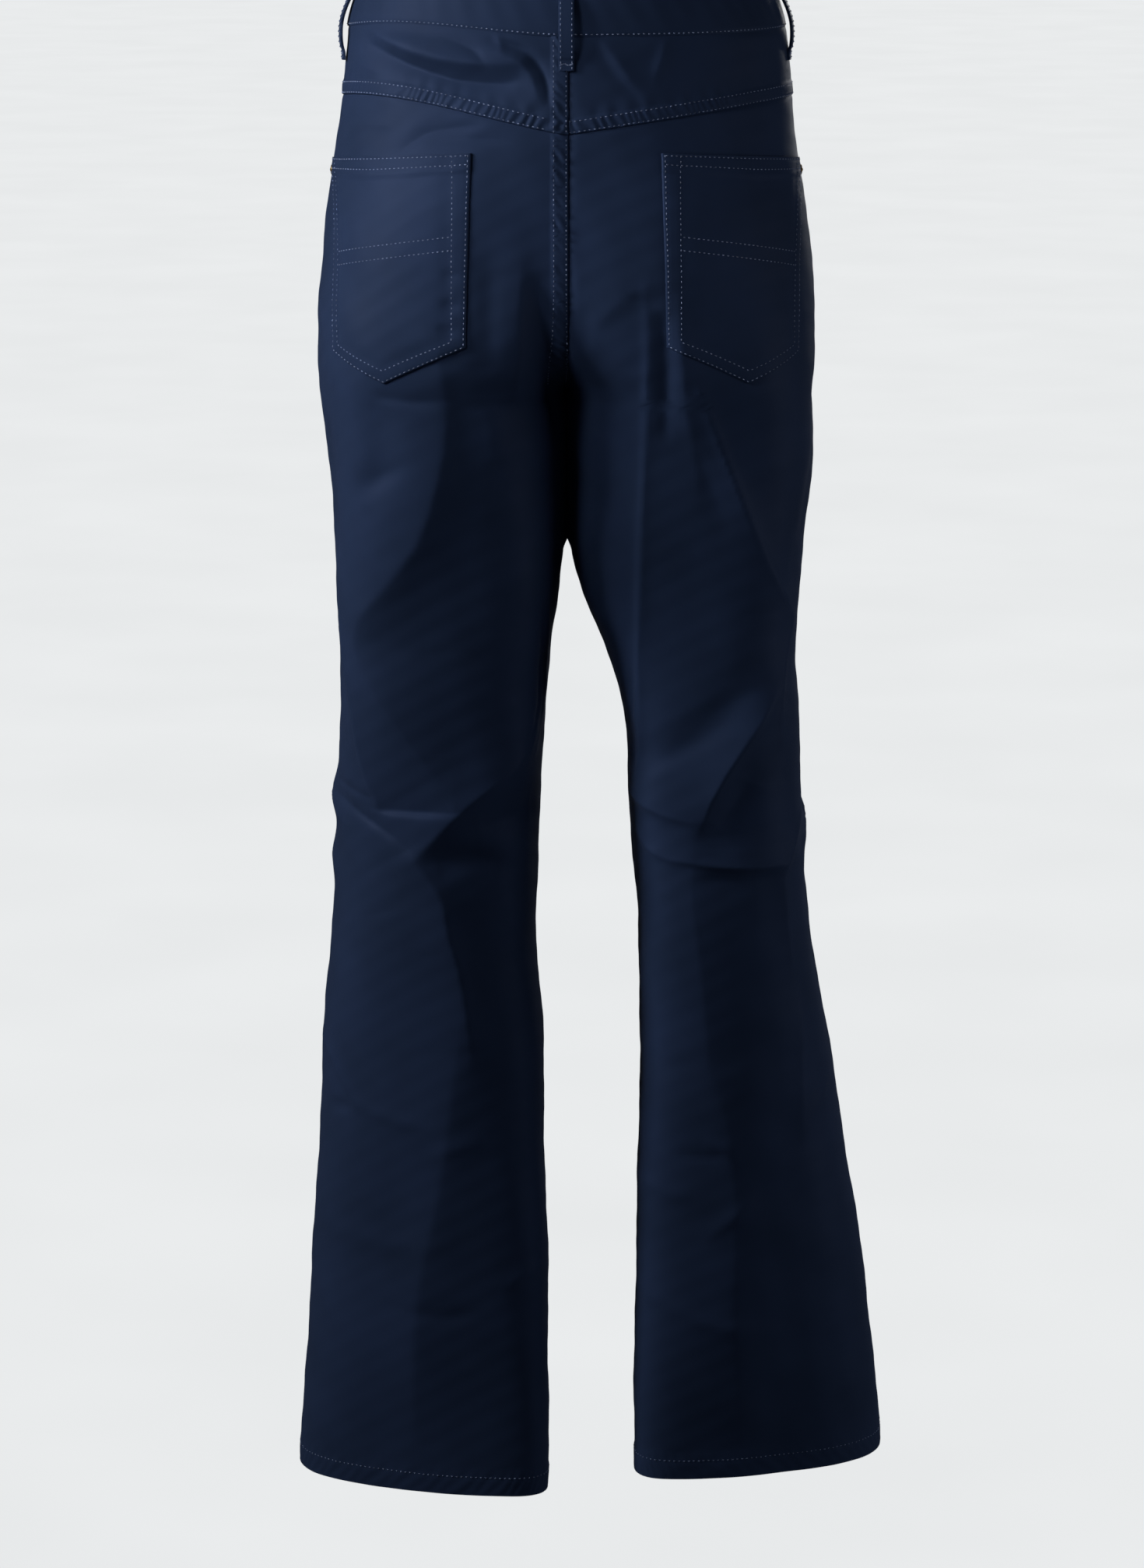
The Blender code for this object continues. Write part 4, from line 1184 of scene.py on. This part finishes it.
class TROUSERS_OT_hems(bpy.types.Operator):
    """Turned-up hems inside the legs"""

    bl_idname = "trousers.hems"
    bl_label = "Hems"

    def execute(self, context):
        columns = graded(PANEL_WIDTH, [0.0, 1.0], [0.0030, 0.0030])
        t = graded(HEM_DEPTH, [0.0, 1.0], [0.0016, 0.0012])[:, None]
        for side in SIDES:
            halves = [spread(side, columns, HEM[side], +1), spread(side, columns[:-1], HEM[side], -1)[::-1]]
            around = np.concatenate(halves)
            around = around[: len(around) - len(around) % 2]
            up = HEM_DEPTH * (1 - t) + 0 * around
            # a gap's breadth inside the leg, closing to 0.1 mm at the fold
            lift = -CLOTH - LAID_ON + (LAID_ON - 0.0001) * smooth((0.004 - up) / 0.004)
            surface = skin(side, around + 0 * t, HEM[side] + up, lift)
            made = cloth_piece(side_name("hem", side), surface, side > 0, wrap=True)
        return {"FINISHED"}


def loop_path():
    """A belt loop from the side: its outer face as rows of (lift, z), from its top to its foot.
    The arch between its sewn ends is a half wave, flattened by a power."""
    top, foot = LOOP_TOP - LOOP_SEWN, LOOP_FOOT + LOOP_SEWN
    sewn_rows, arch_rows = 5, 45
    upper = np.linspace(LOOP_TOP, top, sewn_rows + 1)[:-1]
    lower = np.linspace(foot, LOOP_FOOT, sewn_rows + 1)[1:]
    z = np.concatenate([upper, np.linspace(top, foot, arch_rows), lower])
    arch = LOOP_STAND * np.pad(np.sin(np.linspace(0.0, math.pi, arch_rows)) ** 0.6, sewn_rows)
    seam_step = WAISTBAND_PROUD * smooth((z - foot + 0.004) / 0.004)
    return SEATED + LOOP_THICK + seam_step + arch, z


def loop_band(around, across):
    """Points of a loop's outer face at distances across its middle line, and their way out."""
    side = 1 if around >= 0 else -1
    lifts, z = loop_path()
    turn = 90.0 + abs(around)
    points, out = form(side, turn, z)
    ahead = form(side, turn + 1.0, z)[0] - points
    ahead /= np.linalg.norm(ahead, axis=1, keepdims=True)
    crown = -0.0005 * np.abs(across / (LOOP_WIDTH / 2)) ** 6
    rise = (lifts[:, None] + crown)[..., None]
    return points[:, None] + out[:, None] * rise + ahead[:, None] * across[:, None], out[:, None] + 0 * rise


class TROUSERS_OT_belt_loops(bpy.types.Operator):
    """Belt loops, folded strips that are tacked at both ends"""

    bl_idname = "trousers.belt_loops"
    bl_label = "Belt loops"

    def execute(self, context):
        self.make("belt_loop_back", 0.0)
        for side in SIDES:
            self.make(side_name("belt_loop_side", side), side * 84.0)
            self.make(side_name("belt_loop_front", side), side * 130.0)
        return {"FINISHED"}

    def make(self, name, around):
        """A loop at an angle round from the centre back, with a row along each edge."""
        across = LOOP_WIDTH / 2 * np.sin(np.linspace(-math.pi / 2, math.pi / 2, 17))
        made = cloth_piece(name, loop_band(around, across), around >= 0, thick=LOOP_THICK)
        points, out = loop_band(around, (LOOP_WIDTH / 2 - EDGE_ROW) * np.array([-1, 1]))
        thread_piece = stitches(f"{name}_stitching", [(points[:, k], out[:, k]) for k in (0, 1)])
        pieces = [thread_piece, self.tacks(name, around)]

    def tacks(self, name, around):
        """Bar tacks: a close zigzag across each sewn end."""
        zigzag = np.tile([-1.0, 1.0], 13)
        line = np.linspace(0.0, 1.0, len(zigzag))[:, None]
        points, out = loop_band(around, (LOOP_WIDTH / 2 - 0.0006) * np.array([-1, 1]))
        rows = []
        for end in (3, -4):  # rows of the loop's path, near the middle of each sewn end
            across = points[end, 0] + (points[end, 1] - points[end, 0]) * line
            across[:, 2] += zigzag * 0.0008
            rows.append((across, np.repeat(out[end, :1], len(zigzag), axis=0)))
        return stitches(f"{name}_tacks", rows)


def brass_piece(name, profile, place, direction, steps):
    """A round piece: a profile of (radius, height) pairs carried round the axis, closed at its
    poles, stood on the cloth."""
    radius, height = np.array(profile, float).T
    angle = np.linspace(0.0, 2 * math.pi, steps, endpoint=False)
    around = np.stack([np.cos(angle), np.sin(angle), 0 * angle], axis=-1)
    rings = radius[:, None, None] * around + height[:, None, None] * np.array([0, 0, 1])
    index = np.arange(len(radius) * steps).reshape(len(radius), steps)
    index = np.hstack([index, index[:, :1]])
    first, last = np.full(steps, len(radius) * steps), np.full(steps, len(radius) * steps + 1)
    top = np.stack([first, index[0, :-1], index[0, 1:]], axis=-1)
    low = np.stack([last, index[-1, 1:], index[-1, :-1]], axis=-1)
    poles = np.array([[0, 0, height[0]], [0, 0, height[-1]]])
    turn = np.array(Vector(direction).to_track_quat("Z", "Y").to_matrix())
    points = np.vstack([rings.reshape(-1, 3), poles]) @ turn.T + place
    made = make_mesh(name, points, grid_quads(index)[:, [0, 3, 2, 1]], np.vstack([top, low]))
    return sewn(made, finish(antique_brass), name, slot="antique_brass")


def footing(side, angle, z, lift):
    """A point lifted off the smooth form, and the way out of the cloth there."""
    points, out = form(side, angle, z)
    return points + out * lift, out


class TROUSERS_OT_metal(bpy.types.Operator):
    """Waistband button, and rivets at the ends of the front pocket openings"""

    bl_idname = "trousers.metal"
    bl_label = "Button and rivets"

    def execute(self, context):
        z = -WAISTBAND_HEIGHT / 2
        foot, out = footing(+1, 360.0 - angle_at(+1, BUTTON_X, z, -1), z, WAISTBAND_PROUD + SEATED)
        r = BUTTON_RADIUS
        face = [(0.0004, 0.0034), (0.35 * r, 0.0035), (0.62 * r, 0.0036), (0.68 * r, 0.0039)]
        rim = [(0.74 * r, 0.0036), (0.80 * r, 0.0037), (0.90 * r, 0.0039), (0.97 * r, 0.0035), (r, 0.0029)]
        back = [(0.98 * r, 0.0023), (0.90 * r, 0.0018), (0.47 * r, 0.0014), (0.45 * r, 0.0), (0.0004, 0.0)]
        brass_piece("waist_button", face + rim + back, foot, out, 64)
        r = RIVET_RADIUS
        burr = [(0.0002, 0.0019), (0.22 * r, 0.0018), (0.30 * r, 0.0014), (0.45 * r, 0.0013)]
        dome = [(0.80 * r, 0.0010), (0.95 * r, 0.0007), (r, 0.0003), (0.98 * r, 0.0), (0.0002, 0.0)]
        for side in SIDES:
            for name, share, over in (
                ("rivet_side", 0.955, FRONT_POCKET_LOW),
                ("rivet_waist", FRONT_POCKET_START - 0.045, -WAISTBAND_HEIGHT),
            ):
                z = over - RIVET_BELOW
                foot, out = footing(side, spread(side, share, z, -1), z, SEATED)
                brass_piece(side_name(name, side), burr + dome, foot, out, 32)
        return {"FINISHED"}


class TROUSERS_OT_fly(bpy.types.Operator):
    """Closed zip behind the centre front, and the shield behind the zip"""

    bl_idname = "trousers.fly"
    bl_label = "Fly"

    def execute(self, context):
        top = -WAISTBAND_HEIGHT - 0.004
        behind_front, behind_zip = CLOTH + FLY_GAP, 2 * CLOTH + FLY_GAP + LAID_ON
        for name, left, right, low, depth, maker, slot in (
            ("zip", 0.024, -0.004, -0.186, behind_front, zip_tape, "zip_tape"),
            ("fly_shield", 0.036, -0.012, -0.196, behind_zip, navy_sateen, "navy_sateen"),
        ):
            x = np.linspace(right, left, 25)
            z = np.linspace(top, low, 81)[:, None] + 0 * x
            points, out = form(+1, 360.0 - angle_at(+1, np.abs(x), z, -1), z)
            surface = mirrored((points - out * depth, out), x)
            made = cloth_piece(name, surface, False, maker=maker, slot=slot)
        return {"FINISHED"}


# ---------------------------------------------------------------- the stage

CAMERA_PLACE = (-0.0039, 3.5, 0.21)
CAMERA_DOWN = 12.7  # degrees that it looks down
SENSOR = 36.0
FOCAL, PHOTO_HEIGHT = 6380, 2014  # the lens's focal length and the photo's height, in its pixels


def area_light(name, place, target, size, power, beam=180.0):
    """A square soft light that the camera doesn't see, with its beam's whole angle."""
    light = bpy.data.lights.new(name, "AREA")
    light.size, light.energy, light.spread = size, power, math.radians(beam)
    made = bpy.data.objects.new(name, light)
    bpy.context.scene.collection.objects.link(made)
    made.location = place
    made.rotation_mode = "QUATERNION"
    made.rotation_quaternion = (Vector(target) - Vector(place)).to_track_quat("-Z", "Y")
    made.visible_camera = False


class TROUSERS_OT_stage(bpy.types.Operator):
    """Pale floor, soft lights and the camera"""

    bl_idname = "trousers.stage"
    bl_label = "Floor, lights and camera"

    def execute(self, context):
        stage = context.scene.trousers_stage
        corners = 60.0 * np.array([[-1, -1, 0], [1, -1, 0], [1, 1, 0], [-1, 1, 0]]) + (0, 0, stage.floor)
        floor = make_mesh("studio_floor", corners, np.array([[0, 1, 2, 3]]))
        floor.data.materials.append(finish(pale_floor))
        floor.visible_diffuse = floor.visible_glossy = False

        world = bpy.data.worlds.new("pale_studio")
        world.use_nodes = True
        tree = world.node_tree
        tree.nodes.clear()
        paper, air = (*linear("E8E9E9"), 1.0), (*linear("E8ECF2"), 1.0)
        seen = add(tree, "ShaderNodeBackground", {"Color": paper, "Strength": 1.0})
        light = add(tree, "ShaderNodeBackground", {"Color": air, "Strength": stage.air})
        straight = add(tree, "ShaderNodeLightPath").outputs["Is Camera Ray"]
        mixed = add(tree, "ShaderNodeMixShader", Fac=straight, _1=light.outputs[0], _2=seen.outputs[0])
        add(tree, "ShaderNodeOutputWorld", Surface=mixed.outputs[0])
        context.scene.world = world

        area_light("key_softbox", (2.33, 0.66, 0.70), (0.0, 0.10, -0.34), 0.60, stage.key, 90.0)
        area_light("fill_softbox", (0.95, 0.95, 0.40), (-0.07, 0.12, -0.12), 0.35, stage.key * 0.026, 36.0)
        area_light("right_bounce", (-2.0, 0.5, -0.5), (-0.1, 0.05, -0.6), 1.2, stage.key * 0.60)
        area_light("front_key", (-0.8, -2.3, 0.4), (0.0, 0.0, -0.4), 1.2, stage.key * 1.8)

        lens = bpy.data.cameras.new("camera")
        lens.sensor_width, lens.lens = SENSOR, SENSOR * FOCAL / PHOTO_HEIGHT
        camera = bpy.data.objects.new("camera", lens)
        context.scene.collection.objects.link(camera)
        camera.location = CAMERA_PLACE
        camera.rotation_euler = (math.radians(90 - CAMERA_DOWN), 0.0, math.pi)
        context.scene.camera = camera
        context.scene.view_settings.view_transform = "Standard"
        return {"FINISHED"}


# ---------------------------------------------------------------- settings and panel


class TrousersCloth(bpy.types.PropertyGroup):
    thickness: FloatProperty(
        name="Thickness", description="One layer of the shown cloth", default=0.0010, unit="LENGTH"
    )
    fold_depth: FloatProperty(
        name="Fold depth", description="How deep the creases are", default=1.0, subtype="FACTOR"
    )
    colour: FloatVectorProperty(
        name="Navy", description="Cloth, its lighter tone", default=linear("303F5F"), subtype="COLOR"
    )
    shade: FloatVectorProperty(
        name="Deep navy", description="Cloth, its darker tone", default=linear("2B3955"), subtype="COLOR"
    )


class TrousersStitching(bpy.types.PropertyGroup):
    # the real stitches are about 2.9 mm long, and would run together
    pitch: FloatProperty(
        name="Stitch length", description="From one stitch to the next", default=0.0036, unit="LENGTH"
    )
    thickness: FloatProperty(
        name="Thread", description="Thickness of the thread", default=0.0007, unit="LENGTH"
    )
    colour: FloatVectorProperty(
        name="Thread colour", description="Sewing thread", default=linear("97A8D2"), subtype="COLOR"
    )


class TrousersStage(bpy.types.PropertyGroup):
    floor: FloatProperty(name="Floor", description="Height of the floor", default=-1.30, unit="LENGTH")
    key: FloatProperty(name="Key light", description="Power of the main light in watts", default=9.2)
    air: FloatProperty(
        name="Room light", description="Strength of the even light from all round", default=0.035
    )


class TROUSERS_PT_sidebar(bpy.types.Panel):
    bl_idname = "TROUSERS_PT_sidebar"
    bl_label = "Straight-leg trousers"
    bl_space_type = "VIEW_3D"
    bl_region_type = "UI"
    bl_category = "Trousers"

    def draw(self, context):
        for group in GROUPS:
            settings = getattr(context.scene, group)
            for name in settings.__annotations__:
                self.layout.prop(settings, name)
        for operator in OPERATORS:
            self.layout.operator(operator.bl_idname)


OPERATORS = (
    TROUSERS_OT_panels,
    TROUSERS_OT_yokes,
    TROUSERS_OT_waistband,
    TROUSERS_OT_back_pockets,
    TROUSERS_OT_front_pockets,
    TROUSERS_OT_hems,
    TROUSERS_OT_belt_loops,
    TROUSERS_OT_fly,
    TROUSERS_OT_metal,
    TROUSERS_OT_stage,
)
GROUPS = {
    "trousers_cloth": TrousersCloth,
    "trousers_stitching": TrousersStitching,
    "trousers_stage": TrousersStage,
}


def register():
    for cls in (*GROUPS.values(), *OPERATORS, TROUSERS_PT_sidebar):
        bpy.utils.register_class(cls)
    for name, group in GROUPS.items():
        setattr(bpy.types.Scene, name, PointerProperty(type=group))


def unregister():
    for name in GROUPS:
        delattr(bpy.types.Scene, name)
    for cls in (TROUSERS_PT_sidebar, *reversed(OPERATORS), *GROUPS.values()):
        bpy.utils.unregister_class(cls)


def main():
    register()
    for operator in OPERATORS:
        category, name = operator.bl_idname.split(".")
        getattr(getattr(bpy.ops, category), name)()


if __name__ == "__main__":
    main()
